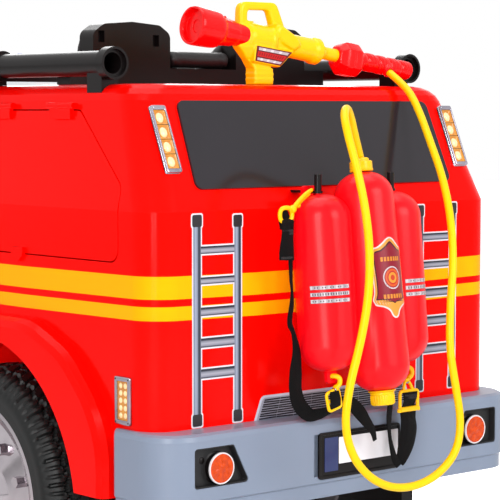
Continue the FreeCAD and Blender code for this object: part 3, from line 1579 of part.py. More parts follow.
def all_parts():
    """Every node's name and shape."""
    hatch = make_hatch()
    door = make_door()
    parts = {
        "chassis_tray": make_chassis(),
        "rear_body": make_rear_body(),
        "front_body": make_front_body(),
        "side_steps": make_side_steps(),
        "rear_bumper": make_rear_bumper(),
        "front_bumper": make_front_bumper(),
        "front_grille": make_grille(),
        "headlamps": make_headlamps(),
        "rear_window": make_rear_window(),
        "lamp_bezels": make_lamp_bezels(),
        "lamp_lenses": make_lamp_lenses(),
        "windshield_frame": make_windshield_frame(),
        "windshield": make_windshield(),
        "roof_rails": make_roof_rails(),
        "light_bar_base": make_light_bar_base(),
        "light_bar_domes": make_light_bar_domes(),
        "dashboard": make_dashboard(),
        "steering_wheel": make_steering_wheel(),
        "seat_shell": make_seat_shell(),
        "seat_cushions": make_seat_cushions(),
        "seat_backrests": make_seat_backrests(),
        "battery": make_battery(),
        "drive_motors": make_drive_motors(),
        "rear_axle": make_rear_axle(),
        "front_axle_beam": make_front_beam(),
        "knuckle_left": make_knuckle(1),
        "knuckle_right": make_knuckle(-1),
        "tie_rod": make_tie_rod(),
        "water_tanks": make_water_tanks(),
        "tank_caps": make_tank_caps(),
        "tank_hooks": make_tank_hooks(),
        "tank_straps": make_tank_straps(),
        "strap_buckles": make_strap_buckles(),
        "gun_body": make_gun_body(),
        "gun_nozzle": make_gun_nozzle(),
        "gun_grip": make_gun_grip(),
        "hose": make_hose(),
        "hatch_left": hatch,
        "hatch_right": mirrored(hatch),
        "door_left": door,
        "door_right": mirrored(door),
    }
    for end, axle_y in (("front", front_axle_y), ("rear", rear_axle_y)):
        for name, side in (("left", 1), ("right", -1)):
            parts["tyre_" + end + "_" + name] = make_tyre(side, axle_y)
            parts["rim_" + end + "_" + name] = make_rim(side, axle_y)
    return parts


os.makedirs("parts", exist_ok=True)
for name, shape in all_parts().items():
    shape.exportStep("parts/" + name + ".step")
    solids = len(shape.Solids)
    print(name, solids, round(shape.Volume / 1000, 1), shape.isValid())
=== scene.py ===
import json
import logging
from dataclasses import dataclass
from enum import Enum
from math import asin, atan2, cos, exp, pi, radians, sin, tan, tau
from typing import Callable, Iterable, Sequence

import bmesh
import bpy
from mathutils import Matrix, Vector


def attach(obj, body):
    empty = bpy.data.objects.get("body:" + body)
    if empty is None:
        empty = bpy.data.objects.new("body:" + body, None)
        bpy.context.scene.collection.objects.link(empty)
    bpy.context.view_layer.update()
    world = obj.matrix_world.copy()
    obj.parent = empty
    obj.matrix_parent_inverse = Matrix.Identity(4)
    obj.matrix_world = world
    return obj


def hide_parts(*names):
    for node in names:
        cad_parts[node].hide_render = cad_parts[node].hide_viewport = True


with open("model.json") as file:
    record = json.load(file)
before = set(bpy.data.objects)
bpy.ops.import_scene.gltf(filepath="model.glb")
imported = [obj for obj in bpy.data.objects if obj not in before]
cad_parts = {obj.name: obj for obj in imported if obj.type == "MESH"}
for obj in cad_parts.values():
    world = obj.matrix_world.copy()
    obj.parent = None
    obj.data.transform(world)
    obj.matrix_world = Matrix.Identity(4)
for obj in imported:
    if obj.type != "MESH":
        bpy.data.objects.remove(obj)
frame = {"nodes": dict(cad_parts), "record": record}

# Looks of the ride-on fire engine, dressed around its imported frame; lengths are in metres

log = logging.getLogger("fire_engine")

MM = 0.001
Colour = tuple[float, float, float]
Place = tuple[float, float, float]
Outline = list[tuple[float, float]]
Points = Sequence[tuple[float, float]]
Tree = bpy.types.NodeTree
Socket = bpy.types.NodeSocket
Sockets = bpy.types.bpy_prop_collection
Material = bpy.types.Material


class Slot(Enum):
    """The record's material slots."""

    RED_BODY = "red_body"
    GREY_BUMPER = "grey_bumper"
    BLACK_PLASTIC = "black_plastic"
    DARK_PANEL = "dark_panel"
    CHROME = "chrome"
    AMBER = "amber"
    LAMP_CLEAR = "lamp_clear"
    CLEAR_PANEL = "clear_panel"
    BLUE_LENS = "blue_lens"
    LEATHER = "leather"
    BATTERY_CASE = "battery_case"
    STEEL = "steel"
    TANK_RED = "tank_red"
    YELLOW_PLASTIC = "yellow_plastic"
    GUN_RED = "gun_red"
    HOSE_YELLOW = "hose_yellow"
    WEBBING = "webbing"
    TYRE = "tyre"


class Side(Enum):
    """Left or right half of the toy; the value is the sign of x."""

    LEFT = 1
    RIGHT = -1

    @property
    def word(self) -> str:
        """The side's name in piece names."""
        return self.name.lower()


def linear(rgb: Colour) -> tuple[float, float, float, float]:
    """Turn a colour as seen on screen, 0 to 255, into the shader's linear values.

    Args:
        rgb: red, green and blue from 0 to 255.

    Returns:
        Linear red, green, blue and a full alpha.
    """
    channels = []
    for value in rgb:
        share = value / 255
        channels.append(share / 12.92 if share <= 0.04045 else ((share + 0.055) / 1.055) ** 2.4)
    return (*channels, 1.0)


def put(name: str, data: bpy.types.ID) -> bpy.types.Object:
    """Make an object of a mesh, curve, camera or lamp and put it in the scene."""
    piece = bpy.data.objects.new(name, data)
    bpy.context.scene.collection.objects.link(piece)
    return piece


# Shader node groups: effects that several finishes share


class Effects:
    """Shader node groups, each built once and placed in the materials that need it."""

    def __init__(self) -> None:
        """Build every group."""
        self.mottle = self._mottle()
        self.moulding = self._moulding()
        self.grain = self._grain()
        self.weave = self._weave()
        self.band = self._band()
        self.skin = self._skin()

    @staticmethod
    def _start(name: str, inputs: dict[str, float | tuple], output: str) -> tuple[Tree, Sockets, Sockets]:
        """Open a group with named sockets.

        Args:
            name: the group's name.
            inputs: name and default of each input, a number or a colour.
            output: name of the one output, a colour where it is called so.

        Returns:
            The tree, the sockets that its inputs come in by, and those that its result goes to.
        """
        tree = bpy.data.node_groups.new(name, "ShaderNodeTree")
        for label, default in inputs.items():
            kind = "NodeSocketColor" if isinstance(default, tuple) else "NodeSocketFloat"
            tree.interface.new_socket(name=label, in_out="INPUT", socket_type=kind).default_value = default
        kind = "NodeSocketColor" if output == "Colour" else "NodeSocketFloat"
        tree.interface.new_socket(name=output, in_out="OUTPUT", socket_type=kind)
        return tree, tree.nodes.new("NodeGroupInput").outputs, tree.nodes.new("NodeGroupOutput").inputs

    @staticmethod
    def node(tree: Tree, kind: str, values: dict[str | int, object], **options: object) -> bpy.types.Node:
        """Add a node and feed it.

        Args:
            tree: the tree to add it to.
            kind: Blender's name of the node, without its prefix.
            values: a socket or a value for each input.
            options: the node's own settings.

        Returns:
            The node.
        """
        node = tree.nodes.new(f"ShaderNode{kind}")
        for option, value in options.items():
            setattr(node, option, value)
        for label, value in values.items():
            if isinstance(value, Socket):
                tree.links.new(value, node.inputs[label])
            else:
                node.inputs[label].default_value = value
        return node

    @staticmethod
    def maths(tree: Tree, operation: str, first: Socket | float, second: Socket | float | None = None) -> Socket:
        """Add a Math node.

        Args:
            tree: the tree to add it to.
            operation: Blender's name of the operation.
            first: a socket or a number.
            second: a socket or a number, where the operation takes two.

        Returns:
            The node's output.
        """
        values = {0: first} if second is None else {0: first, 1: second}
        return Effects.node(tree, "Math", values, operation=operation).outputs[0]

    def mix(self, tree: Tree, factor: Socket | float, first: Socket, second: Socket | tuple,
            blend: str = "MIX") -> Socket:
        """Mix two colours by a factor, or by another blend."""
        values = {"Factor": factor, "A": first, "B": second}
        return self.node(tree, "Mix", values, data_type="RGBA", blend_type=blend).outputs["Result"]

    def place(self, tree: Tree) -> Socket:
        """The piece's own coordinates, in metres."""
        return self.node(tree, "TexCoord", {}).outputs["Object"]

    def placed(self, tree: Tree, group: Tree, values: dict[str, object]) -> Socket:
        """Place a group with its values; what it puts out."""
        return self.node(tree, "Group", values, node_tree=group).outputs[0]

    def _noise(self, tree: Tree, scale: Socket, detail: float) -> Socket:
        """Cloudy noise over the piece."""
        values = {"Vector": self.place(tree), "Scale": scale, "Detail": detail}
        return self.node(tree, "TexNoise", values).outputs["Fac"]

    def _mottle(self) -> Tree:
        """Slow drift between two near colours, as in a moulded or sprayed surface."""
        white = (1, 1, 1, 1)
        tree, start, end = self._start("mottle", {"Colour": white, "Drift": white, "Scale": 8.0}, "Colour")
        mixed = self.mix(tree, self._noise(tree, start["Scale"], 3.0), start["Colour"], start["Drift"])
        tree.links.new(mixed, end[0])
        return tree

    def _moulding(self) -> Tree:
        """Faint waves of a blow-moulded wall with a fine skin texture over them."""
        values = {"Wave Scale": 6.0, "Wave": 1.0, "Skin Scale": 900.0, "Skin": 0.1}
        tree, start, end = self._start("moulding", values, "Height")
        heights = [self.maths(tree, "MULTIPLY", self._noise(tree, start[f"{texture} Scale"], 2.0), start[texture])
                   for texture in ("Wave", "Skin")]
        tree.links.new(self.maths(tree, "ADD", *heights), end[0])
        return tree

    def _grain(self) -> Tree:
        """Leather grain: pebbles between fine creases."""
        tree, start, end = self._start("grain", {"Scale": 420.0}, "Height")
        cells = self.node(tree, "TexVoronoi", {"Vector": self.place(tree), "Scale": start["Scale"]},
                          feature="DISTANCE_TO_EDGE")
        pebble_top = 0.25
        tree.links.new(self.maths(tree, "SMOOTH_MIN", cells.outputs["Distance"], pebble_top), end[0])
        return tree

    def _weave(self) -> Tree:
        """Woven webbing: ribs along the strap crossed by fine threads."""
        tree, start, end = self._start("weave", {"Scale": 700.0}, "Height")
        values = {"Vector": self.place(tree), "Scale": start["Scale"], "Distortion": 0.6}
        waves = [self.node(tree, "TexWave", values, bands_direction=direction).outputs["Fac"] for direction in "XZ"]
        tree.links.new(self.maths(tree, "MULTIPLY", *waves), end[0])
        return tree

    def _band(self) -> Tree:
        """One where a value lies between two limits, zero outside them."""
        tree, start, end = self._start("band", {"Value": 0.0, "Low": 0.0, "High": 1.0}, "Mask")
        above = self.maths(tree, "GREATER_THAN", start["Value"], start["Low"])
        below = self.maths(tree, "LESS_THAN", start["Value"], start["High"])
        tree.links.new(self.maths(tree, "MULTIPLY", above, below), end[0])
        return tree

    def _skin(self) -> Tree:
        """One on the outer face of a box-shaped shell with rounded upright corners, zero inside it."""
        values = {"Half Width": 0.29, "Rear": 0.56, "Corner": 0.038, "Depth": 0.002}
        tree, start, end = self._start("skin", values, "Mask")
        parts = self.node(tree, "SeparateXYZ", {0: self.place(tree)}).outputs
        squares = []
        for value, limit in ((self.maths(tree, "ABSOLUTE", parts["X"]), "Half Width"), (parts["Y"], "Rear")):
            flat = self.maths(tree, "SUBTRACT", start[limit], start["Corner"])
            reach = self.maths(tree, "MAXIMUM", self.maths(tree, "SUBTRACT", value, flat), 0.0)
            squares.append(self.maths(tree, "MULTIPLY", reach, reach))
        distance = self.maths(tree, "SQRT", self.maths(tree, "ADD", *squares))
        limit = self.maths(tree, "SUBTRACT", start["Corner"], start["Depth"])
        tree.links.new(self.maths(tree, "GREATER_THAN", distance, limit), end[0])
        return tree


# Finishes


@dataclass(frozen=True)
class Finish:
    """A plain finish: two near colours, gloss, and the bump of its surface."""

    name: str
    colour: Colour
    drift: Colour
    roughness: float = 0.4
    metallic: float = 0.0
    specular: float = 0.5
    coat: float = 0.0
    coat_roughness: float = 0.05
    drift_scale: float = 8.0
    wave_scale: float = 6.0
    wave: float = 0.0
    skin_scale: float = 900.0
    skin: float = 0.0
    bump_distance: float = 0.001
    transmission: float = 0.0
    ior: float = 1.5
    sheen: float = 0.0

    def base(self, tree: Tree, effects: Effects) -> Socket:
        """The drifting base colour."""
        values = {"Colour": linear(self.colour), "Drift": linear(self.drift), "Scale": self.drift_scale}
        return effects.placed(tree, effects.mottle, values)

    def height(self, tree: Tree, effects: Effects) -> Socket | None:
        """The surface's height for its bump, or nothing where it is smooth."""
        if not (self.wave or self.skin):
            return None
        values = {"Wave Scale": self.wave_scale, "Wave": self.wave, "Skin Scale": self.skin_scale, "Skin": self.skin}
        return effects.placed(tree, effects.moulding, values)

    def build(self, effects: Effects) -> Material:
        """Make the material.

        Args:
            effects: the shared node groups.

        Returns:
            The finished material.
        """
        material = bpy.data.materials.new(self.name)
        material.use_nodes = True
        tree = material.node_tree
        sockets = tree.nodes["Principled BSDF"].inputs
        constants = {"Roughness": self.roughness, "Metallic": self.metallic, "Specular IOR Level": self.specular,
                     "Coat Weight": self.coat, "Coat Roughness": self.coat_roughness, "IOR": self.ior,
                     "Transmission Weight": self.transmission, "Sheen Weight": self.sheen}
        for label, value in constants.items():
            sockets[label].default_value = value
        tree.links.new(self.base(tree, effects), sockets["Base Color"])
        height = self.height(tree, effects)
        if height:
            values = {"Strength": 1.0, "Distance": self.bump_distance, "Height": height}
            tree.links.new(effects.node(tree, "Bump", values).outputs["Normal"], sockets["Normal"])
        return material


@dataclass(frozen=True)
class BandedFinish(Finish):
    """Glossy body colour with the two yellow bands that run round the body and rise a little to its rear corners."""

    band_colour: Colour = (250, 174, 8)
    bands: tuple[tuple[float, float], ...] = ((0.444, 0.471), (0.4187, 0.4353))
    half_width: float = 0.290
    rear: float = 0.560
    corner: float = 0.038
    skin_depth: float = 0.002
    lift: float = 0.0022
    lift_from: tuple[float, float] = (0.13, 0.30)
    lift_rate: tuple[float, float] = (6.25, 3.85)

    def level(self, tree: Tree, effects: Effects) -> Socket:
        """The height that the bands are judged by.

        Args:
            tree: the material's tree.
            effects: the shared node groups.

        Returns:
            Its socket.
        """
        parts = effects.node(tree, "SeparateXYZ", {0: effects.place(tree)}).outputs
        sides = (effects.maths(tree, "ABSOLUTE", parts["X"]), parts["Y"])
        ramps = []
        for value, start, rate in zip(sides, self.lift_from, self.lift_rate):
            over = effects.maths(tree, "MULTIPLY", effects.maths(tree, "SUBTRACT", value, start), rate)
            ramps.append(effects.maths(tree, "MAXIMUM", over, 0.0))
        rise = effects.maths(tree, "MULTIPLY", effects.maths(tree, "MULTIPLY", *ramps), self.lift)
        return effects.maths(tree, "SUBTRACT", parts["Z"], rise)

    def base(self, tree: Tree, effects: Effects) -> Socket:
        """The base colour with the bands over it, on the outer skin only.

        Args:
            tree: the material's tree.
            effects: the shared node groups.

        Returns:
            Its socket.
        """
        level = self.level(tree, effects)
        bands = [effects.placed(tree, effects.band, {"Value": level, "Low": low, "High": high})
                 for low, high in self.bands]
        shell = {"Half Width": self.half_width, "Rear": self.rear, "Corner": self.corner, "Depth": self.skin_depth}
        mask = effects.maths(tree, "MULTIPLY", effects.maths(tree, "ADD", *bands),
                             effects.placed(tree, effects.skin, shell))
        return effects.mix(tree, mask, super().base(tree, effects), linear(self.band_colour))


@dataclass(frozen=True)
class LeatherFinish(Finish):
    """Grained leatherette."""

    grain_scale: float = 420.0

    def height(self, tree: Tree, effects: Effects) -> Socket:
        """The grain's height."""
        return effects.placed(tree, effects.grain, {"Scale": self.grain_scale})


@dataclass(frozen=True)
class WebbingFinish(Finish):
    """Woven strap."""

    weave_scale: float = 260.0

    def height(self, tree: Tree, effects: Effects) -> Socket:
        """The weave's height."""
        return effects.placed(tree, effects.weave, {"Scale": self.weave_scale})


@dataclass(frozen=True)
class PrintFinish(Finish):
    """Printed film: the colour comes from the mesh, with a slight fade."""

    def base(self, tree: Tree, effects: Effects) -> Socket:
        """The printed colour, faded by the film's own."""
        printed = effects.node(tree, "Attribute", {}, attribute_name="print").outputs["Color"]
        return effects.mix(tree, 1.0, printed, super().base(tree, effects), "MULTIPLY")


PLAIN_FINISHES = (
    BandedFinish("red_paint", (254, 9, 3), (249, 6, 2), roughness=0.14, specular=0.06, wave=0.25, wave_scale=5.0,
                 skin=0.003, drift_scale=3.0, bump_distance=0.002),
    Finish("grey_moulding", (132, 143, 162), (122, 133, 153), roughness=0.3, specular=0.3, wave=0.15, skin=0.01),
    # The black moulding's faint red tint is a painted reflection of the red body around it.
    Finish("black_moulding", (19, 14, 14), (13, 10, 10), roughness=0.3, specular=0.2, wave=0.1, skin=0.02),
    Finish("dark_film", (38, 34, 40), (34, 31, 35), roughness=0.14, specular=0.34, wave=0.1),
    Finish("plating", (198, 190, 194), (150, 144, 150), roughness=0.08, metallic=1.0, wave=0.05, drift_scale=30.0),
    Finish("amber_lens", (255, 176, 40), (248, 150, 25), roughness=0.18, coat=0.6, drift_scale=60.0),
    Finish("clear_lamp", (225, 228, 232), (200, 205, 210), roughness=0.1, specular=0.4, drift_scale=40.0),
    Finish("clear_sheet", (235, 242, 245), (228, 236, 240), roughness=0.03, transmission=1.0, ior=1.45),
    Finish("blue_dome", (20, 70, 235), (12, 50, 210), roughness=0.08, transmission=0.75, ior=1.45),
    LeatherFinish("leatherette", (30, 26, 27), (22, 19, 20), roughness=0.42, specular=0.3, bump_distance=0.0006),
    Finish("battery_case", (60, 60, 64), (52, 52, 56), roughness=0.5, skin=0.05),
    Finish("zinc_steel", (186, 188, 192), (165, 168, 174), roughness=0.32, metallic=1.0, skin=0.02),
    Finish("tank_red", (252, 10, 26), (246, 7, 20), roughness=0.28, specular=0.22, wave=0.2, wave_scale=9.0,
           skin=0.01),
    Finish("yellow_moulding", (255, 203, 5), (251, 192, 3), roughness=0.26, specular=0.25, wave=0.1, skin=0.01),
    Finish("gun_red", (238, 4, 8), (226, 3, 6), roughness=0.2, specular=0.24, wave=0.15, wave_scale=14.0),
    Finish("hose_yellow", (255, 206, 0), (250, 196, 0), roughness=0.34, specular=0.2, wave=0.1, wave_scale=30.0),
    WebbingFinish("webbing_black", (15, 14, 15), (9, 8, 9), roughness=0.85, specular=0.1, sheen=0.02,
                  bump_distance=0.0006),
    Finish("tyre_rubber", (17, 18, 18), (10, 11, 11), roughness=0.46, specular=0.3, wave=0.1, skin=0.05,
           skin_scale=600.0, bump_distance=0.0008),
)


class Palette:
    """All the finishes of the toy: one for each slot, and those of the dressed pieces."""

    def __init__(self) -> None:
        """Build the node groups and every material."""
        self.effects = Effects()
        # The trim plating's slow drift down to dark grey is painted reflection: dark patches for the dark surroundings
        # that chrome mirrors.
        self.trim = self.make("trim_plating", (196, 190, 202), (120, 116, 128), roughness=0.2, metallic=1.0, wave=0.08,
                              wave_scale=30.0, drift_scale=26.0)
        self.materials = {slot: finish.build(self.effects) for slot, finish in zip(Slot, PLAIN_FINISHES)}
        self.film = PrintFinish("printed_film", (236, 236, 238), (226, 226, 229), roughness=0.3, specular=0.3, wave=0.1,
                                skin=0.003, drift_scale=20.0).build(self.effects)
        self.amber_cell = self.make("amber_cell", (226, 150, 26), (176, 104, 12), roughness=0.2, coat=0.7,
                                    drift_scale=90.0, wave=0.4, wave_scale=220.0, bump_distance=0.0006)
        # Pale cream of the lamp lens domes: painted glow and highlight.
        self.painted_glow_lens = self.make("painted_glow_lens", (255, 226, 168), (255, 214, 150), roughness=0.15, coat=0.8,
                                    drift_scale=60.0)
        self.orange_prism = self.make("orange_prism", (238, 84, 0), (150, 26, 0), roughness=0.12, specular=0.3,
                                      drift_scale=160.0, wave=0.5, wave_scale=260.0, bump_distance=0.0008)
        self.pale_rim = self.make("pale_rim", (232, 226, 228), (214, 206, 208), roughness=0.22, coat=0.4)
        self.plate_white = self.make("plate_white", (238, 236, 240), (230, 228, 233), roughness=0.32, coat=0.2,
                                     wave=0.1, skin=0.004)
        self.plate_blue = self.make("plate_blue", (24, 42, 100), (19, 35, 88), roughness=0.32, coat=0.2)
        self.matt_black = self.make("matt_black", (24, 23, 25), (19, 18, 20), roughness=0.6, skin=0.05)
        self.dark = self.make("dark_gap", (30, 28, 30), (24, 22, 24), roughness=0.5)
        self.thread = self.make("thread", (70, 68, 70), (54, 52, 54), roughness=0.8, skin=0.1)

    def of(self, slot: Slot) -> Material:
        """The material of a slot."""
        return self.materials[slot]

    def make(self, name: str, colour: Colour, drift: Colour, **values: float) -> Material:
        """Build one more plain finish from its name, two colours and other values."""
        return Finish(name, colour, drift, **values).build(self.effects)


# Mesh kit: places in millimetres, pieces in metres


class Surface:
    """A surface that pieces are drawn on."""

    def at(self, along: float, rise: float, height: float = 0.0) -> Vector:
        """The point at a distance along, up and off the surface."""
        raise NotImplementedError

    def lay(self, outline: Iterable[tuple[float, float]], height: float = 0.0) -> list[Vector]:
        """An outline's points at a height over the surface."""
        return [self.at(x, y, height) for x, y in outline]


@dataclass(frozen=True)
class Frame(Surface):
    """A flat working place: an origin with its right, up and outward directions, in millimetres."""

    origin: Vector
    right: Vector
    up: Vector
    out: Vector

    def at(self, along: float, rise: float, height: float = 0.0) -> Vector:
        """The point at a distance along, up and out of the frame."""
        return self.origin + self.right * along + self.up * rise + self.out * height


REAR_Y = 560.0
BELT_Z = 548.0
ROOF_Z = 699.0
REAR_LEAN = 64.0
SIDE_X = 290.0
BUMPER_Y = 598.0
SLOPE = atan2(REAR_LEAN, ROOF_Z - BELT_Z)
X, Y, Z = Vector((1, 0, 0)), Vector((0, 1, 0)), Vector((0, 0, 1))
REAR_WALL = Frame(Y * REAR_Y, X, Z, Y)
REAR_SLOPE = Frame(Vector((0, REAR_Y, BELT_Z)), X, Vector((0, -sin(SLOPE), cos(SLOPE))),
                   Vector((0, cos(SLOPE), sin(SLOPE))))
BUMPER_FACE = Frame(Y * BUMPER_Y, X, Z, Y)


@dataclass(frozen=True)
class Drum(Surface):
    """The outside of a leaning bottle: an arc length round it, a height along it and a distance off it."""

    foot: Vector
    lean: float
    radius: float

    def at(self, along: float, rise: float, height: float = 0.0) -> Vector:
        """The point at an arc length along, a rise and a distance off the drum."""
        turn = along / self.radius
        tip = radians(self.lean)
        axis = Vector((0, -sin(tip), cos(tip)))
        front = Vector((0, cos(tip), sin(tip)))
        reach = self.radius + height
        return self.foot + axis * rise + X * (sin(turn) * reach) + front * (cos(turn) * reach)


NEARLY_STRAIGHT = 1.55


def slope_rise(z: float) -> float:
    """Distance up the rear slope of a height above the floor."""
    return (z - BELT_Z) / cos(SLOPE)


def rounded(points: Points, radius: float | Sequence[float], steps: int = 4) -> Outline:
    """Round the corners of an outline.

    Args:
        points: its corners in order.
        radius: one radius, or one for each corner.
        steps: how many runs each corner gets.

    Returns:
        The rounded outline.
    """
    radii = [radius] * len(points) if isinstance(radius, (int, float)) else list(radius)
    outline: Outline = []
    for index, corner in enumerate(points):
        here = Vector((*corner, 0))
        before = Vector((*points[index - 1], 0)) - here
        after = Vector((*points[(index + 1) % len(points)], 0)) - here
        half = before.angle(after) / 2
        if radii[index] <= 0 or half > NEARLY_STRAIGHT:
            outline.append(tuple(corner))
            continue
        reach = min(radii[index] / tan(half), before.length * 0.5, after.length * 0.5)
        start, end = here + before.normalized() * reach, here + after.normalized() * reach
        for step in range(steps + 1):
            share = step / steps
            point = start * (1 - share) ** 2 + here * (2 * share * (1 - share)) + end * share ** 2
            outline.append((point.x, point.y))
    return outline


def turns(count: int) -> list[float]:
    """Angles at equal steps round a circle."""
    return [2 * pi * step / count for step in range(count)]


def block(low: float, left: float, high: float, right: float) -> Outline:
    """A rectangle as an outline, from its lowest and highest places."""
    return [(left, low), (right, low), (right, high), (left, high)]


def shrunk(outline: Outline, inset: float) -> Outline:
    """Draw an outline in towards its own middle by about an inset."""
    middle = Vector([sum(places) / len(outline) for places in zip(*outline)])
    half = Vector((max(abs(x - middle.x) for x, _ in outline), max(abs(y - middle.y) for _, y in outline)))
    return [(middle.x + (x - middle.x) * (1 - inset / half.x), middle.y + (y - middle.y) * (1 - inset / half.y))
            for x, y in outline]


def divided(points: Points, cuts: Callable[[tuple, tuple], int]) -> Outline:
    """Cut the runs of a profile into shorter ones.

    Args:
        points: the profile.
        cuts: how many runs the one between two points becomes.

    Returns:
        The denser profile.
    """
    dense = []
    for start, end in zip(points, points[1:]):
        count = cuts(start, end)
        dense += [tuple(a + (b - a) * step / count for a, b in zip(start, end)) for step in range(count)]
    return [*dense, points[-1]]


def smooth_path(points: Sequence[Place | Vector], steps: int = 6) -> list[Vector]:
    """A curve that passes through every given point.

    Args:
        points: the points in order.
        steps: how many runs each stretch gets.

    Returns:
        The points of the curve.
    """
    places = [Vector(point) for point in points]
    places = [places[0] * 2 - places[1], *places, places[-1] * 2 - places[-2]]
    curve = []
    for a, b, c, d in zip(places, places[1:], places[2:], places[3:]):
        for step in range(steps):
            t = step / steps
            curve.append((b * 2 + (c - a) * t + (a * 2 - b * 5 + c * 4 - d) * t ** 2
                          + (b * 3 - a - c * 3 + d) * t ** 3) / 2)
    return [*curve, places[-2]]


FILM, FILM_STEP, FILL_STEP = 0.10, 0.02, 0.03
OPEN = (False, False)


class Build:
    """One piece's mesh under construction, drawn in millimetres."""

    def __init__(self) -> None:
        """Start an empty mesh with a printed colour on its corners."""
        self.mesh = bmesh.new()
        self.print = self.mesh.loops.layers.float_color.new("print")
        self.layer = 0

    def face(self, verts: Sequence[bmesh.types.BMVert], slot: int = 0,
             colours: Sequence[Colour] | Colour | None = None) -> bmesh.types.BMFace | None:
        """Add one face.

        Args:
            verts: its corners.
            slot: its material's number.
            colours: one printed colour, or one for each corner.

        Returns:
            The face, or nothing where its corners fall together.
        """
        corners = list(dict.fromkeys(verts))
        if len(corners) < 3:
            return None
        face = self.mesh.faces.new(corners)
        face.material_index = slot
        face.smooth = True
        if colours is not None:
            many = colours if isinstance(colours[0], (tuple, list)) else [colours] * len(corners)
            for loop, colour in zip(face.loops, many):
                loop[self.print] = linear(colour)
        return face

    def ring(self, points: Iterable[Vector]) -> list[bmesh.types.BMVert]:
        """Add a ring of points."""
        return [self.mesh.verts.new(point * MM) for point in points]

    def loft(self, rings: Sequence[Sequence[Vector]], slot: int = 0, caps: tuple[bool, bool] = (True, True),
             closed: bool = True) -> None:
        """Join rings of equal count with walls.

        Args:
            rings: the rings in order.
            slot: the material's number.
            caps: whether the first and last ring are filled.
            closed: whether each ring closes on itself.
        """
        made = [self.ring(ring) for ring in rings]
        count = len(made[0])
        for low, high in zip(made, made[1:]):
            for index in range(count if closed else count - 1):
                after = (index + 1) % count
                self.face((low[index], low[after], high[after], high[index]), slot)
        if caps[0]:
            self.face(made[0][::-1], slot)
        if caps[1]:
            self.face(made[-1], slot)

    def prism(self, place: Surface, outline: Outline, low: float, high: float, slot: int = 0) -> None:
        """Raise an outline off a surface as a block.

        Args:
            place: the surface.
            outline: the outline on it.
            low: where the block starts.
            high: where it ends.
            slot: the material's number.
        """
        self.loft([place.lay(outline, low), place.lay(outline, high)], slot)

    def frame(self, place: Surface, outer: Outline, inner: Outline, low: float, high: float, edge: float,
              slot: int = 0) -> None:
        """Raise a rim between two outlines of equal count.

        Args:
            place: the surface.
            outer: outline of its outside.
            inner: outline of its opening.
            low: where the rim starts.
            high: where it ends.
            edge: the rounding of its top.
            slot: the material's number.
        """
        bevel = edge * 0.3
        path = [(outer, low), (outer, high - edge), (shrunk(outer, bevel), high - bevel), (shrunk(outer, edge), high),
                (shrunk(inner, -edge), high), (shrunk(inner, -bevel), high - bevel), (inner, high - edge), (inner, low)]
        self.loft([place.lay(outline, height) for outline, height in path], slot, caps=OPEN)

    def print_on(self, place: Surface, outline: Outline, colour: Colour | Sequence[Colour], runs: int = 1,
                 over: bool = True) -> None:
        """Lay a thin printed patch on a surface.

        Args:
            place: the surface.
            outline: the patch, as a convex outline or a rectangle in four points.
            colour: one colour, or one for each corner.
            runs: how many strips a rectangle is cut into along a curved surface.
            over: whether it lies a hair above the last one, or beside it.
        """
        self.layer += over
        height = FILM + FILM_STEP * self.layer
        if runs == 1:
            self.face(self.ring(place.lay(outline, height)), 0, colour)
            return
        (x0, y0), (x1, y1), (x2, y2), (x3, y3) = outline
        shares = [index / runs for index in range(runs + 1)]
        low = self.ring(place.at(x0 + (x1 - x0) * share, y0 + (y1 - y0) * share, height) for share in shares)
        high = self.ring(place.at(x3 + (x2 - x3) * share, y3 + (y2 - y3) * share, height) for share in shares)
        for index in range(runs):
            self.face((low[index], low[index + 1], high[index + 1], high[index]), 0, colour)

    def fill(self, place: Surface, rows: Sequence[tuple[float, float, float]], colour: Colour, columns: int = 12,
             over: bool = True) -> None:
        """Lay a printed shape on a curved surface in narrow cells.

        Args:
            place: the surface.
            rows: height, left and right of each row, from the top.
            colour: the printed colour.
            columns: how many cells each row gets.
            over: whether it lies a hair above the last one, or beside it.
        """
        self.layer += over
        height = FILM + FILL_STEP * self.layer
        made = [self.ring(place.at(left + (right - left) * i / columns, rise, height) for i in range(columns + 1))
                for rise, left, right in rows]
        for upper, lower in zip(made, made[1:]):
            for index in range(columns):
                self.face((lower[index], lower[index + 1], upper[index + 1], upper[index]), 0, colour)

    def bars(self, place: Surface, low: float, left: float, high: float, right: float,
             stops: Sequence[tuple[float, Colour]], upright: bool) -> None:
        """Lay strips that grade from colour to colour.

        Args:
            place: the surface.
            low: lowest place.
            left: leftmost place.
            high: highest place.
            right: rightmost place.
            stops: shares across the strip and their colours.
            upright: whether the strip runs up, so that it grades sideways.
        """
        self.layer += 1
        for (share_a, colour_a), (share_b, colour_b) in zip(stops, stops[1:]):
            if upright:
                a, b = right + (left - right) * share_a, right + (left - right) * share_b
                corners, colours = [(a, low), (b, low), (b, high), (a, high)], [colour_a, colour_b, colour_b, colour_a]
            else:
                a, b = high + (low - high) * share_a, high + (low - high) * share_b
                corners, colours = [(left, a), (right, a), (right, b), (left, b)], [colour_a] * 2 + [colour_b] * 2
            self.print_on(place, corners, colours, over=False)

    def revolve(self, profile: Points, foot: Vector, axis: Vector, count: int = 32,
                slot: int = 0, wobble: Callable[[float, float], float] | None = None,
                caps: tuple[bool, bool] = (True, True)) -> None:
        """Turn a profile about an axis.

        Args:
            profile: radius and place along the axis, in order.
            foot: the axis's start.
            axis: its direction.
            count: how many sides the piece gets.
            slot: the material's number.
            wobble: share of the radius at an angle and a place along, for ribs and folds.
            caps: whether the first and last ring are filled.
        """
        axis = axis.normalized()
        side = axis.orthogonal().normalized()
        other = axis.cross(side)
        rings = []
        for radius, along in profile:
            ring = []
            for turn in turns(count):
                reach = radius * (wobble(turn, along) if wobble else 1.0)
                ring.append(foot + axis * along + (side * cos(turn) + other * sin(turn)) * reach)
            rings.append(ring)
        self.loft(rings, slot, caps=caps)

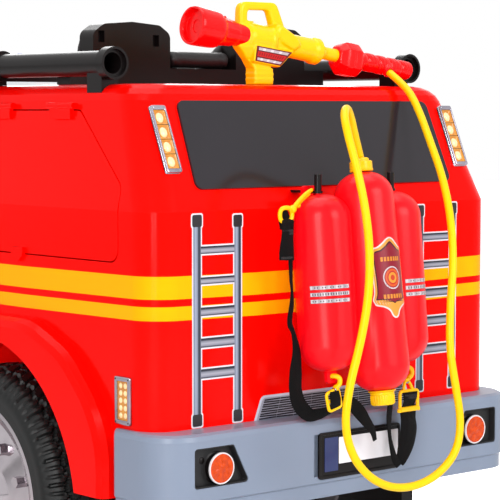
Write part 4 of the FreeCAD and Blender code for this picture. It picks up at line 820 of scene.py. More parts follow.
    def sweep(self, path: Sequence[Vector], radius: float | Callable[[float], float], count: int = 12,
              slot: int = 0, closed: bool = False, flat: float = 1.0, face: Vector | None = None) -> None:
        """Run a round or flattened section along a path.

        Args:
            path: the path's points.
            radius: the section's radius, or its radius at a share of the path.
            count: how many sides it gets.
            slot: the material's number.
            closed: whether the path closes on itself.
            flat: share of the radius across the face direction.
            face: the direction that the flat side keeps.
        """
        rings = []
        last = face or (path[1] - path[0]).orthogonal()
        total = len(path)
        for index, point in enumerate(path):
            ahead = path[(index + 1) % total] if closed else path[min(index + 1, total - 1)]
            behind = path[index - 1] if closed or index else path[0]
            along = (ahead - behind).normalized()
            side = (last - along * last.dot(along)).normalized()
            last = face or side
            other = along.cross(side)
            size = radius(index / (total - 1)) if callable(radius) else radius
            rings.append([point + side * (cos(turn) * size * flat) + other * (sin(turn) * size)
                          for turn in turns(count)])
        if closed:
            self.loft([*rings, rings[0]], slot, caps=OPEN)
        else:
            self.loft(rings, slot)

    def done(self, name: str, materials: Sequence[Material], slot: Slot, body: str = "vehicle",
             replaces: Sequence[str] = (), angle: float = 38.0, weld: float = 0.0, face_out: bool = True,
             softness: int = 4) -> bpy.types.Object:
        """Turn the mesh into a piece.

        Args:
            name: the piece's name.
            materials: its materials, by number.
            slot: the record's slot that its finish belongs to; not used.
            body: the body that it rides on.
            replaces: the nodes that it stands for.
            angle: edges sharper than this stay sharp.
            weld: voxel size that its solids are blended at, in millimetres.
            face_out: whether the faces are turned outwards.
            softness: how many rounds of smoothing follow the blending.

        Returns:
            The finished piece.
        """
        bmesh.ops.remove_doubles(self.mesh, verts=self.mesh.verts, dist=1e-7)
        if face_out:
            bmesh.ops.recalc_face_normals(self.mesh, faces=self.mesh.faces)
        data = bpy.data.meshes.new(name)
        self.mesh.to_mesh(data)
        self.mesh.free()
        data.set_sharp_from_angle(angle=radians(angle))
        piece = put(name, data)
        for material in materials:
            data.materials.append(material)
        if weld:
            blend = piece.modifiers.new("weld", "REMESH")
            blend.mode = "VOXEL"
            blend.voxel_size = weld * MM
            blend.use_smooth_shade = True
            soften = piece.modifiers.new("soften", "SMOOTH")
            soften.factor = 0.5
            soften.iterations = softness
        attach(piece, body)
        if replaces:
            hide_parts(*replaces)
        return piece


# The hose


@dataclass
class Hose:
    """Yellow hose from the gun's grip, down in a loop behind the tank and up into its collar."""

    palette: Palette
    radius: float = 5.0 * MM
    length: float = 1.298
    start: Place = (-178, 474.44, 716.92)
    route: tuple[Place, ...] = (
        (-177, 495, 705), (-172, 520, 690), (-165, 546, 661), (-153, 575, 627),
        (-139, 612, 581), (-124, 641, 531), (-110, 659, 478), (-92, 671, 424), (-81, 681, 370),
        (-86, 688, 322), (-91, 692, 282), (-82, 694, 246), (-52, 694, 222), (-14, 694, 211),
        (28, 694, 213), (66, 694, 229), (96, 694, 258), (111, 695, 298), (104, 696, 344),
        (87, 697, 394), (74, 697, 446), (71, 696, 500), (75, 692, 552), (81, 683, 600),
        (82, 668, 640), (72, 651, 663), (52, 635, 671), (33, 622, 659), (20, 615, 637))
    end: Place = (0.0, 604.5, 607.8)

    def build(self) -> None:
        """Lay the hose along its route."""
        curve = bpy.data.curves.new("hose_line", "CURVE")
        curve.dimensions = "3D"
        curve.resolution_u = 12
        curve.bevel_depth = self.radius
        curve.bevel_resolution = 6
        curve.use_fill_caps = True
        places = [self.start, *self.route, self.end]
        spline = curve.splines.new("NURBS")
        spline.points.add(len(places) - 1)
        for point, place in zip(spline.points, places):
            point.co = (*(value * MM for value in place), 1)
        spline.order_u = 3
        spline.use_endpoint_u = True
        hose = put("hose_line", curve)
        curve.materials.append(self.palette.of(Slot.HOSE_YELLOW))
        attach(hose, "vehicle")
        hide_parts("hose")
        log.info("hose laid through %d points", len(places))


# Printed decoration


@dataclass
class Decals:
    """The stickers on the rear wall and the tanks, all of generic design."""

    palette: Palette
    white: Colour = (246, 240, 246)
    rail: tuple[tuple[float, Colour], ...] = ((0.0, (112, 122, 142)), (0.28, (168, 178, 198)), (0.52, (140, 150, 170)),
                                              (0.66, (66, 72, 86)), (0.84, (52, 56, 68)), (1, (118, 126, 144)))
    rung: tuple[tuple[float, Colour], ...] = ((0, (44, 48, 60)), (0.22, (50, 54, 68)), (0.3, (128, 132, 146)),
                                              (0.56, (176, 179, 192)), (0.8, (148, 150, 164)), (0.88, (74, 78, 92)),
                                              (1, (104, 108, 122)))
    cap: Colour = (48, 46, 50)
    outline: float = 1.8

    def ladder(self, side: Side) -> None:
        """A printed ladder on the rear wall.

        Args:
            side: which side it is on.
        """
        build = Build()
        place = REAR_WALL
        flip = side.value
        reaches = ((217.5, 228.9), (155.3, 165.7)) if side is Side.LEFT else ((206.5, 217.5), (146, 156.2))
        rails = [sorted((flip * a, flip * b)) for a, b in reaches]
        spans = ((292.3, 544), (292.3, 542)) if side is Side.LEFT else ((300, 545), (300, 543.5))
        rungs = ((495.5, 508.1), (459.4, 471.4), (421.7, 435.6), (383.9, 398.8), (347, 362))
        inner = sorted((flip * reaches[1][1], flip * reaches[0][0]))
        white = self.outline
        for (left, right), (low, high) in zip(rails, spans):
            for extra, start, end in ((white, low + 8, high - 8), (white + 1.6, high - 16, high + white),
                                      (white + 1.6, low - white, low + 16)):
                shape = rounded(block(start, left - extra, end, right + extra), 3.4)
                build.print_on(place, shape, self.white)
        for low, high in rungs:
            build.print_on(place, block(low, inner[0], high, inner[1]), self.white)
        for low, high in rungs:
            build.bars(place, low + white, inner[0], high - white, inner[1], self.rung, upright=False)
        for (left, right), (low, high) in zip(rails, spans):
            build.bars(place, low + 8, left, high - 8, right, self.rail, upright=True)
            for start, end in ((high - 14.5, high), (low, low + 14.5)):
                build.print_on(place, rounded(block(start, left - 1.6, end, right + 1.6), 3), self.cap)
        build.done(f"ladder_print_{side.word}", [self.palette.film], Slot.GREY_BUMPER, face_out=False)

    def grille(self) -> None:
        """A printed louvre panel just above the bumper."""
        build = Build()
        place = REAR_WALL
        rim = rounded([(-138, 280), (138, 280), (123, 319.5), (-123, 319.5)], [0, 0, 9, 9])
        inner = rounded([(-134, 281), (134, 281), (120, 316.6), (-120, 316.6)], [0, 0, 7, 7])
        build.print_on(place, rim, (222, 220, 234))
        build.print_on(place, inner, (178, 178, 192))
        rows, slats = 12, 9
        pitch = 33.8 / rows
        slit = pitch * 0.70
        for row in range(rows):
            low = 281.9 + pitch * row
            reach = 131.6 - 13.6 * (low + pitch - 281) / 35.0
            build.layer += 1
            for slat in range(slats):
                left, right = (-reach + 2 * reach * end / slats for end in (slat, slat + 0.985))
                bend = 0.22 if (slat + row) % 2 else -0.22
                corners = [(left, low + bend), (right, low - bend), (right, low + slit - bend),
                           (left, low + slit + bend)]
                build.print_on(place, corners, (34, 31, 39), over=False)
        build.done("louvre_print", [self.palette.film], Slot.GREY_BUMPER, face_out=False)

    def shield(self) -> None:
        """A gold-edged shield without any figure or word on the middle tank."""
        build = Build()
        place = Drum(Vector((0, 626, 455)), 8, 37)
        stations = ((52, 0), (50, 4.5), (45.5, 10), (41, 17), (39, 24), (32, 26.8), (20, 26), (0, 25), (-14, 25.4),
                    (-22, 27.4), (-27, 24), (-29.5, 15), (-34, 7.5), (-41, 3.5), (-43.5, 0))
        half_widths = [(point.x, max(0.0, point.y)) for point in smooth_path([(a, b, 0) for a, b in stations], 5)]

        def crest(grow: float, colour: Colour, foot: float | None = None) -> None:
            """Lay the shield, grown or shrunk all round, down to its foot.

            Args:
                grow: how far it grows, or shrinks where it is negative.
                colour: the printed colour.
                foot: where it ends, if above its own foot.
            """
            rows = []
            for rise, half in half_widths:
                lift = grow if rise > 36 else -grow if rise < -26 else 0.0
                if foot is not None and rise + lift < foot:
                    break
                reach = max(0.0, half + grow)
                rows.append((rise + lift, -reach, reach))
            if foot is not None:
                reach *= 0.7
                rows += [(foot - 2, -reach, reach), (foot - 4, -1, 1)]
            build.fill(place, rows, colour, 16)

        def disc(rise: float, radius: float, colour: Colour) -> None:
            """Lay a round patch."""
            halves = [(radius * cos(turn), radius * sin(turn)) for turn in (*turns(24)[:12], pi)]
            build.fill(place, [(rise + up, -half, half) for up, half in halves], colour)

        crest(1.6, (244, 226, 220))
        crest(0.1, (238, 164, 60))
        crest(-2.4, (70, 22, 34), -23)
        crest(-3.8, (150, 16, 42), -21.6)
        for radius, colour in ((14, (226, 214, 214)), (12.4, (172, 22, 52)), (11, (232, 96, 32)),
                               (8.4, (206, 48, 34)), (6.6, (246, 160, 52)), (3.4, (214, 66, 32))):
            disc(4, radius, colour)
        for rise in (27, -18.5):
            build.layer += 1
            for step in range(-3, 4):
                left, right = step * 4.6 - 1.6, step * 4.6 + 1.6
                build.fill(place, [(rise + 2.6, left, right), (rise - 2.6, left, right)], (240, 148, 48), 2, over=False)
        build.done("tank_shield_print", [self.palette.film], Slot.TANK_RED, face_out=False)

    def tank_bars(self, side: Side) -> None:
        """Three silver bars round a side tank.

        Args:
            side: which side it is on.
        """
        build = Build()
        place = Drum(Vector((side.value * 60, 606, 455)), 5.5, 37)
        left, right = (-5, 46.5) if side is Side.LEFT else (-46.5, 16)
        for high in (-0.4, -8.6, -16.8):
            build.print_on(place, block(high - 5, left - 0.6, high + 0.6, right + 0.6), (170, 20, 40), runs=14)
            cells = 16
            build.layer += 1
            for cell in range(cells):
                a, b = (left + (right - left) * end / cells for end in (cell, cell + 1))
                shade = 226 - 46 * (cell * 7 % 5) / 4
                build.print_on(place, block(high - 4.4, a, high, b), (shade, shade - 8, shade - 4), runs=2, over=False)
            build.layer += 1
            size = 0.9 if high < -9 or high > -1 else 1.5
            for tick in range(1, cells):
                middle = left + (right - left) * tick / cells
                if (tick + int(high)) % 3 or size > 1:
                    build.print_on(place, block(high - 2.2 - size, middle - 0.7, high - 2.2 + size, middle + 0.7),
                                   (96, 84, 96), runs=2, over=False)
        build.done(f"tank_bars_print_{side.word}", [self.palette.film], Slot.TANK_RED, face_out=False)

    def build(self) -> None:
        """Lay every sticker."""
        for side in Side:
            self.ladder(side)
            self.tank_bars(side)
        self.grille()
        self.shield()
        log.info("stickers laid")


# Lamps, markers, reflectors and plate


class LampBuild(Build):
    """Screws, reflector cells and domed lenses."""

    def screw(self, place: Surface, along: float, rise: float, height: float, radius: float, slot: int) -> None:
        """A small domed screw head."""
        profile = [(radius, -0.3), (radius, 0.25 * radius), (radius * 0.7, 0.5 * radius), (0.0, 0.58 * radius)]
        self.revolve(profile, place.at(along, rise, height), place.out, 14, slot, caps=(True, False))

    def cell(self, place: Frame, low: float, left: float, high: float, right: float, floor: float, deep: float) -> None:
        """A square reflector cell, hollowed towards its middle.

        Args:
            place: the surface.
            low: its lowest place.
            left: its leftmost place.
            high: its highest place.
            right: its rightmost place.
            floor: height of its rim.
            deep: how far its middle is sunk.
        """
        middle = ((left + right) / 2, (low + high) / 2)
        corners = rounded(block(low, left, high, right), 0.8, 4)
        rings = []
        for share, sunk in ((1, 0), (0.93, 0), (0.80, 0.55), (0.55, 0.9), (0.2, 1)):
            ring = [(middle[0] + (x - middle[0]) * share, middle[1] + (y - middle[1]) * share) for x, y in corners]
            rings.append(place.lay(ring, floor - deep * sunk))
        self.loft(rings, 1, caps=(False, True))

    def lens(self, place: Frame, along: float, rise: float, height: float, half: float, tall: float,
             proud: float) -> None:
        """An oval domed lens."""
        rings = []
        for share in (0.0, 0.35, 0.62, 0.82, 0.95):
            size = cos(asin(share))
            oval = [(along + half * size * cos(turn), rise + tall * size * sin(turn)) for turn in turns(20)]
            rings.append(place.lay(oval, height + proud * share))
        self.loft(rings, 2, caps=(False, True))


@dataclass
class Lamps:
    """Tail strips, side markers, bumper reflectors and the number plate."""

    palette: Palette
    strip_x: float = 244.5
    strip_half: float = 11.25
    strip_low: float = 592.0
    strip_high: float = 671.0
    frame_depth: float = 6.0
    cells: int = 4

    def tail_strip(self, side: Side) -> None:
        """Four amber cells in a plated frame on the slope.

        Args:
            side: which side it is on.
        """
        build = LampBuild()
        place = REAR_SLOPE
        low, high = slope_rise(self.strip_low), slope_rise(self.strip_high)
        x = side.value * self.strip_x
        outer = rounded(block(low, x - self.strip_half, high, x + self.strip_half), 3)
        inner = rounded(block(low + 5, x - self.strip_half + 2.6, high - 6, x + self.strip_half - 2.6), 1.2)
        build.frame(place, outer, inner, 0.3, self.frame_depth, 0.9)
        build.prism(place, outer, 0.3, 1.6)
        bottom, top = low + 5, high - 6.0
        pitch = (top - bottom) / self.cells
        reach = self.strip_half - 2.7
        for index in range(self.cells):
            start = bottom + pitch * index
            build.cell(place, start + 0.3, x - reach, start + pitch - 0.3, x + reach, 4.6, 2)
            # Pale cream lens domes over the cells: their colour is painted glow and highlight.
            build.lens(place, x, start + pitch * 0.5, 2.9, 5.4, 6.6, 2.6)
        for along, rise in ((7.6, high - 3), (-7.6, low + 2.6)):
            build.screw(place, x + along, rise, self.frame_depth, 1.3, 0)
        build.done(f"tail_strip_{side.word}", [self.palette.trim, self.palette.amber_cell, self.palette.painted_glow_lens],
                   Slot.CHROME, replaces=("lamp_bezels", "lamp_lenses"))

    def marker(self, side: Side) -> None:
        """A side marker: two rows of five lens dots in a plated frame, their pale cream colour a painted glow and
        highlight.

        Args:
            side: which side it is on.
        """
        build = LampBuild()
        place = Frame(X * (side.value * SIDE_X), Y, Z, X * side.value)
        low, high, back, front = 295, 352.5, 490.5, 520.5
        outer = rounded(block(low, back, high, front), 3)
        inner = rounded(block(low + 5.6, back + 4.6, high - 5.6, front - 4.6), 1.2)
        build.frame(place, outer, inner, 0.3, 4.2, 0.9)
        build.prism(place, shrunk(inner, -0.6), 0.3, 2, slot=1)
        pitch = (high - low - 13) / 5
        # Pale cream lens dots: their colour is painted glow and highlight.
        for row in range(5):
            for column in (-1, 1):
                build.lens(place, (back + front) / 2 + column * 4.5, low + 6.5 + pitch * (row + 0.5), 1.9, 3.2,
                           3.5, 1.6)
        for along in (back + 2.6, front - 2.6):
            for rise in (high - 3, low + 3):
                build.screw(place, along, rise, 4.2, 1.1, 3)
        materials = [self.palette.trim, self.palette.amber_cell, self.palette.painted_glow_lens, self.palette.dark]
        build.done(f"side_marker_{side.word}", materials, Slot.CHROME, replaces=("lamp_bezels",))

    def reflector(self, side: Side) -> None:
        """A faceted orange disc with a pale rim on its black cup, in the bumper's pocket.

        Args:
            side: which side it is on.
        """
        build = Build()
        x = side.value * 217.5
        floor = BUMPER_FACE.at(0, 0, -12).y
        foot = Vector((x, floor, 247))
        facets = 7
        cup = [(19.2, 0.4), (19.4, 1.6), (17.6, 2.6), (17.4, 4.4), (18.4, 5.2), (18.2, 9.4), (18.4, 10.6)]
        build.revolve(cup, foot, Y, 40, 1, caps=(True, False))
        rim = [(18.4, 10.6), (19, 11.2), (19, 12.8), (18.6, 13.5), (17.9, 13.7), (17.2, 13.3)]
        build.revolve(rim, foot, Y, 40, 2, caps=OPEN)
        rings = []
        for radius, height, depth in ((17.2, 13.2, 0), (16, 13.9, 0.6), (13.4, 14.3, 1.2), (11.6, 13.6, 0.3),
                                      (9.4, 14.5, 1.2), (6.6, 14.3, 0.9), (5.6, 13.8, 0.2), (3.4, 14.7, 0.5),
                                      (1, 14.9, 0)):
            ring = []
            for turn in turns(72):
                crease = abs((turn * facets / tau) % 1 - 0.5) * 2
                ring.append(foot + Vector((cos(turn) * radius, height - depth * crease, sin(turn) * radius)))
            rings.append(ring)
        build.loft(rings, 0, caps=(False, True))
        bulb = Vector((x + side.value * 21.5, floor, 257))
        build.revolve([(4.2, 0.5), (4.4, 1.4), (3.4, 2.4), (1.6, 2.8), (0.0, 2.9)], bulb, Y, 20, 1)
        materials = [self.palette.orange_prism, self.palette.of(Slot.BLACK_PLASTIC), self.palette.pale_rim,
                     self.palette.of(Slot.CHROME)]
        build.done(f"bumper_reflector_{side.word}", materials, Slot.AMBER, replaces=("lamp_lenses",))

    def pocket_liner(self, side: Side) -> None:
        """Black lining of the reflector's pocket.

        Args:
            side: which side it is on.
        """
        build = Build()
        place = BUMPER_FACE
        points = [(257.6, 226), (257.6, 273.5), (198, 273.5), (173.5, 226)]
        outline = shrunk(rounded([(side.value * x, z) for x, z in points], 4), 0.35)
        opening = shrunk(outline, 1.3)
        build.prism(place, outline, -11.7, -10.4)
        build.frame(place, outline, opening, -11.2, -0.9, 0.4)
        build.done(f"pocket_liner_{side.word}", [self.palette.matt_black], Slot.BLACK_PLASTIC)

    def plate(self) -> None:
        """A blank number plate in its rounded black frame."""
        build = Build()
        place = BUMPER_FACE
        outer = rounded(block(213.6, -76.5, 271.6, 64), 6)
        inner = rounded(block(218, -73.5, 268, 60), 4)
        build.prism(place, outer, 0.1, 1, slot=1)
        build.frame(place, outer, inner, 0.4, 2.8, 0.9, slot=1)
        build.prism(place, rounded(block(230.5, -73, 263.5, 29.5), 1), 0.6, 1.6, slot=0)
        build.prism(place, rounded(block(222.5, 31, 264.5, 53.5), 1), 0.6, 1.6, slot=2)
        materials = [self.palette.plate_white, self.palette.of(Slot.BLACK_PLASTIC), self.palette.plate_blue]
        build.done("number_plate", materials, Slot.BLACK_PLASTIC)

    def build(self) -> None:
        """Make every lamp and marker."""
        for side in Side:
            self.tail_strip(side)
            self.marker(side)
            self.reflector(side)
            self.pocket_liner(side)
        self.plate()
        log.info("lamps and plate made")


# Water tank fittings


class Webbing(Build):
    """Flat straps with their sewn ends."""

    thickness = 1.4

    def strap(self, stations: Sequence[tuple[float, float, float, float]], twist: float, drift: float,
              fold: float) -> None:
        """One flat strap through (x, y, z, width) stations.

        Args:
            stations: places and widths, from its top.
            twist: how far its edges turn in and out, in degrees.
            drift: how far it swings off its plane.
            fold: depth of the crease along its middle.
        """
        line = smooth_path([station[:3] for station in stations], 8)
        widths = smooth_path([(station[3], 0, 0) for station in stations], 8)
        rings = []
        total = len(line)
        last = X
        for index, (point, width) in enumerate(zip(line, widths)):
            share = index / (total - 1)
            ahead = line[min(index + 1, total - 1)] - line[max(index - 1, 0)]
            along = ahead.normalized()
            turn = radians(twist) * sin(share * pi * 1.5)
            across = Vector((along.z, 0, -along.x)).normalized()
            if across.dot(last) < 0:
                across = -across
            last = across
            across = across * cos(turn) + Y * sin(turn)
            out = across.cross(along)
            out = out if out.y > 0 else -out
            here = point + Y * (drift * sin(share * pi * 2) * share)
            half = max(width.x, 4) / 2
            ring = []
            columns = 8
            for side, order in ((1, range(columns + 1)), (-1, range(columns, -1, -1))):
                for step in order:
                    u = -1 + 2 * step / columns
                    crease = fold * (1 - abs(u)) * sin(share * pi)
                    lip = self.thickness / 2 * (0.55 if abs(u) > 0.99 else 1)
                    ring.append(here + across * (half * u) + out * (crease + side * lip))
            rings.append(ring)
        self.loft(rings)

    def loop(self, x: float, z: float, width: float, y: float) -> None:
        """A strap's end sewn back round a ring's bar.

        Args:
            x: middle of the bar.
            z: height of the bar.
            width: the strap's width.
            y: the bar's place.
        """
        half, radius, span = width / 2, 3, 9.0
        middle = Vector((x, y, z))
        path = [middle + Vector((0, 1, -span)), middle + Vector((0, 1.6, -5))]
        path += [middle + (Y * cos(turn) + Z * sin(turn)) * radius
                 for turn in (radians(degrees) for degrees in range(0, 181, 20))]
        path += [middle + Vector((0, -1.4, -5)), middle + Vector((0, -0.8, -span))]
        rings = []
        for index, point in enumerate(path):
            ahead = (path[min(index + 1, len(path) - 1)] - path[max(index - 1, 0)]).normalized()
            out = X.cross(ahead) * (self.thickness / 2)
            rings.append([point + X * (half * step) + out * side
                          for side, steps in ((1, (-1, -0.5, 0.5, 1)), (-1, (1, 0.5, -0.5, -1))) for step in steps])
        self.loft(rings)

    def stitches(self, x: float, z: float, width: float, y: float) -> None:
        """A row of bar-tack stitches across a strap."""
        pitch = 1.7
        for index in range(int(width / pitch)):
            left = x - width / 2 + 1.2 + pitch * index
            path = [Vector((left, y, z - 1.4)), Vector((left + 0.5, y + 0.35, z)), Vector((left + 1, y, z + 1.4))]
            self.sweep(path, 0.3, 6, 1)


class Fastener(Build):
    """Rings and snap hooks of yellow plastic."""

    def buckle(self, middle: Place, width: float, height: float, corner: float, bar: float = 4.2,
               tilt: float = 0.0, bars: Sequence[float] = ()) -> None:
        """A rounded ring, with cross bars where it is a slider.

        Args:
            middle: its middle.
            width: its width.
            height: its height.
            corner: radius of its corners.
            bar: its bars' thickness.
            tilt: lean of its upright axis, in degrees.
            bars: heights of cross bars over its middle.
        """
        centre = Vector(middle)
        lean = radians(tilt)
        up = Vector((sin(lean), 0, cos(lean)))
        across = Vector((cos(lean), 0, -sin(lean)))
        half, rise = width / 2 - bar / 2, height / 2 - bar / 2
        outline = rounded(block(-rise, -half, rise, half), corner, 7)
        self.sweep([centre + across * u + up * v for u, v in outline], bar / 2, 14, closed=True, face=Y, flat=0.9)
        for level in bars:
            self.sweep([centre + across * (half * share) + up * level for share in (-1, 0, 1)], bar / 2, 14, face=Y,
                       flat=0.9)

    def hook(self, path: Sequence[Place], neck: Place, foot: Place, spread: float) -> None:
        """A snap hook: a bent bar with its nose, a swivel, and a neck that widens to the ring.

        Args:
            path: the bar, from its nose to the swivel.
            neck: the swivel's place.
            foot: where the neck meets the ring.
            spread: half width of the neck's foot.
        """
        self.sweep(smooth_path(path, 6), lambda share: 2.1 + 1.0 * min(1, share * 3), 14)
        tip = Vector(path[0])
        self.revolve([(0.8, -2.2), (2, -1.6), (2.3, 0), (2, 1.6), (0.8, 2.2)], tip, Vector(path[1]) - tip, 14)
        start, end = Vector(neck), Vector(foot)
        along = (end - start).normalized()
        self.revolve([(2.2, -2.6), (3.6, -2), (3.9, 0), (3.6, 1.6), (2.4, 2.4)], start, along, 22)
        self.revolve([(1.6, 2), (3.2, 2.6), (3.4, 3.8), (2.2, 4.6)], start, along, 22, slot=1)
        for side in (1, -1):
            leg = [start + along * 2, start + along * 4.0 + X * (side * spread * 0.5), end + X * (side * spread)]
            self.sweep(smooth_path(leg, 5), 1.9, 12)


@dataclass
class TankFittings:
    """Collar, filler cap, webbing and its rings and snap hooks."""

    palette: Palette
    lean: float = 8.0
    foot: Place = (0, 626, 455)
    high: float = 137.0
    low: float = -133.0
    strap_y: float = 600.8
    loop_y: float = 625.8

    def caps(self) -> None:
        """Stepped hose collar on top and ribbed filler cap below."""
        build = Build()
        tip = radians(self.lean)
        axis = Vector((0, -sin(tip), cos(tip)))
        foot = Vector(self.foot)
        low = self.high + 0.5
        collar = [(12, low), (14, low + 0.3), (14.6, low + 1.2), (14.6, low + 3.2), (14, low + 3.8),
                  (13.8, low + 4.2), (13.8, low + 12), (13, low + 13), (11, low + 13.3), (10.4, low + 13.8),
                  (10.2, low + 16), (9, low + 17), (6.4, low + 17), (5.9, low + 15.8)]

        def grip(turn: float, along: float) -> float:
            """Finger ribs round the collar's foot."""
            return 1.0 + (0.025 * max(0, cos(turn * 20)) if low + 4 < along < low + 12.5 else 0)
        build.revolve(collar, foot, axis, 72, wobble=grip)
        top = self.low - 0.5
        cap = [(10, top), (14.2, top - 0.2), (15, top - 1.2), (15, top - 3.2), (14.3, top - 3.9),
               (14.6, top - 4.6), (14.6, top - 14.2), (13.8, top - 16.2), (12.2, top - 17), (6, top - 17),
               (5.4, top - 16.2), (0, top - 16)]

        def ribs(turn: float, along: float) -> float:
            """Fine ribs round the cap's skirt."""
            inside = top - 15.2 < along < top - 4.2
            return 1.0 + (0.035 * (abs((turn * 30 / (2 * pi)) % 1 - 0.5) * 4 - 1) if inside else 0.0)
        build.revolve(cap, foot, axis, 120, wobble=ribs)
        seam = foot + axis * (self.low + 1)
        build.revolve([(16.5, 0), (17.4, -0.8), (17, -1.6), (14, -1.8)], seam, axis, 48, caps=OPEN)
        build.done("tank_collar_and_cap", [self.palette.of(Slot.YELLOW_PLASTIC)], Slot.YELLOW_PLASTIC,
                   replaces=("tank_caps",))

    def straps(self) -> None:
        """All the webbing that hangs from the tank: each strap's twist, drift, fold and stations, then its stitches."""
        materials = [self.palette.of(Slot.WEBBING), self.palette.thread]
        long_straps = (
            (8, 1, 1.6, ((118, 1.2, 535, 17), (118.4, 1.6, 520, 20), (118.8, 2, 505, 21.5), (119.6, 2.2, 487.5, 21))),
            (20, 1, 1.4, ((113, -1, 534, 15), (112, -1, 510, 12), (111.6, 0, 488, 8.5), (111, 0, 464, 6.6),
                          (109.6, 0, 449, 5.4), (110, 0, 433, 10.5), (113, 0, 412, 11), (107, 0, 399, 8),
                          (101.6, 0, 376, 14.5), (102.6, 0, 352, 20), (102.6, 0, 329, 19), (97, 1, 311, 19),
                          (84, 4, 297.5, 17), (72, 12, 298.5, 15), (62, 22, 306, 14))),
            (10, 0, 1, ((121.5, -2.4, 550.5, 9), (120, -3.2, 545, 15), (118.6, -2.4, 537, 17),
                        (118.2, -0.6, 531, 17.5))))
        low_left_straps = (
            (0, 0, 0.8, ((64, 1.6, 327, 15), (63.5, 3.4, 317, 17), (61, 1.4, 307, 16))),
            (16, 2, 1.4, ((58, -2, 312, 13), (45, -1, 312, 14), (33, 0, 308, 16), (20, 0, 297, 17), (8, 0, 285, 15),
                          (-3.5, 0, 272, 12), (-6.8, 0, 259, 8.5))))
        low_right_straps = (
            (12, 1.2, 1.8, ((-65.5, 2.2, 314, 26), (-65.5, 2.6, 306, 26), (-65.5, -0.6, 298, 26),
                            (-65.2, -4.4, 292, 26), (-64.8, -3.2, 286, 26), (-63, 1, 275, 24), (-61, 2, 258, 22),
                            (-55, 1.4, 240, 17), (-50.5, 0.4, 226.5, 12))),
            (16, 1, 1.6, ((-71, -2.2, 296, 20), (-73, -2.2, 279, 18), (-75, -1, 265, 16), (-69, -1.4, 247, 17),
                          (-58, -1.4, 231, 14), (-52, -1, 225, 10))))
        thin_straps = (
            (16, 1.4, 1, ((-31.5, 1.7, 303, 8.5), (-29, 1.7, 284, 11), (-30, 1.7, 264, 7.5), (-35, 1.7, 246, 8),
                          (-41.5, 1.4, 231, 9.5), (-48.5, 0.6, 222.5, 9))),)
        long_stitches = ((118.5, 523, 18, 3.2), (118.5, 519.5, 18, 3.2), (119.4, 490.5, 19, 3.2))
        low_stitches = ((-65.5, 310, 22, 3.9), (-65.5, 307, 22, 3.9))
        for name, y, straps, rows in (("long_strap", self.strap_y, long_straps, long_stitches),
                                      ("low_left_strap", self.loop_y, low_left_straps, ()),
                                      ("low_right_strap", self.loop_y, low_right_straps, low_stitches),
                                      ("thin_strap", self.loop_y, thin_straps, ())):
            build = Webbing()
            for twist, drift, fold, stations in straps:
                build.strap([(x, y + off, z, width) for x, off, z, width in stations], twist, drift, fold)
            if y == self.strap_y:
                build.loop(118.5, 533.5, 18, y)
            for x, z, width, off in rows:
                build.stitches(x, z, width, y + off)
            build.done(name, materials, Slot.WEBBING, replaces=("tank_straps",))

    def buckles(self) -> None:
        """Rings, sliders and snap hooks."""
        materials = [self.palette.of(Slot.YELLOW_PLASTIC), self.palette.of(Slot.CHROME)]
        y, low_y = self.strap_y, self.loop_y
        build = Fastener()
        build.buckle((119, y, 542), 25, 22.5, 9, bar=5.6)
        start, end = Vector((109, y + 0.5, 548.5)), Vector((70.5, 593, 569.5))
        along = (end - start).normalized()
        build.revolve([(2.6, -4.2), (4.2, -3.4), (4.8, -1), (4.8, 1.6), (4, 3.4), (2.8, 4.6)], start, along, 24)
        bar = [start + along * 3.5, start + along * 12 + Z * 1.6, start + along * 24 + Z * 2.6,
               start + along * 36 + Z * 2.2, end + Z * 0.6, end + Vector((-1.5, -4.5, -0.6))]
        build.sweep(smooth_path(bar, 6), lambda share: 3.4 - 1.1 * share, 14, flat=0.75, face=Y)
        gate = [start + along * 9 - Z * 1.6, start + along * 22 - Z * 1, end - along * 5 - Z * 1.6]
        build.sweep(smooth_path(gate, 4), 1.5, 10)
        build.revolve([(1.9, -2.2), (2.4, 0.0), (1.9, 2.2)], start + along * 14 - Z * 3.2, along, 14)
        build.done("left_ring_and_snap", materials, Slot.YELLOW_PLASTIC, replaces=("strap_buckles",))
        build = Fastener()
        build.buckle((63.4, low_y, 316), 25, 27, 4.5, tilt=14, bars=(0.5,))
        build.hook(((60.5, 610.5, 340.5), (60.2, 613, 343.2), (59.6, 617, 344.2), (57, 622.6, 344.4),
                    (53.6, 625.6, 341.5), (54, 626.2, 335.5), (58.5, 626, 331.5)), (60, 626, 330.5), (64, 626, 327), 5)
        build.done("low_left_ring_and_snap", materials, Slot.YELLOW_PLASTIC, replaces=("strap_buckles",))
        build = Fastener()
        build.buckle((-65.5, low_y, 304), 36, 27.5, 4, bar=4.8)
        build.revolve([(1.6, -17), (3.4, -16), (3.4, 16), (1.6, 17)], Vector((-65.5, low_y + 0.8, 292.6)), X, 16)
        build.hook(((-56.5, 608.5, 340), (-58, 611.5, 343), (-60, 616.8, 343.6), (-65, 622, 345.4), (-70.5, 625, 342),
                    (-70, 626, 335.5), (-64, 626.2, 331)), (-61, 626, 330), (-64, 626, 317), 8)
        for side in (1, -1):
            build.revolve([(1.4, -2.6), (2.7, -2), (3, 0), (2.7, 2), (1.4, 2.6)],
                          Vector((-65.5 + side * 16.4, low_y, 291.5)), Z, 14)
        build.done("low_right_slider_and_snap", materials, Slot.YELLOW_PLASTIC, replaces=("strap_buckles",))

    def build(self) -> None:
        """Make all the fittings."""
        self.caps()
        self.straps()
        self.buckles()
        log.info("tank fittings made")


# Water gun


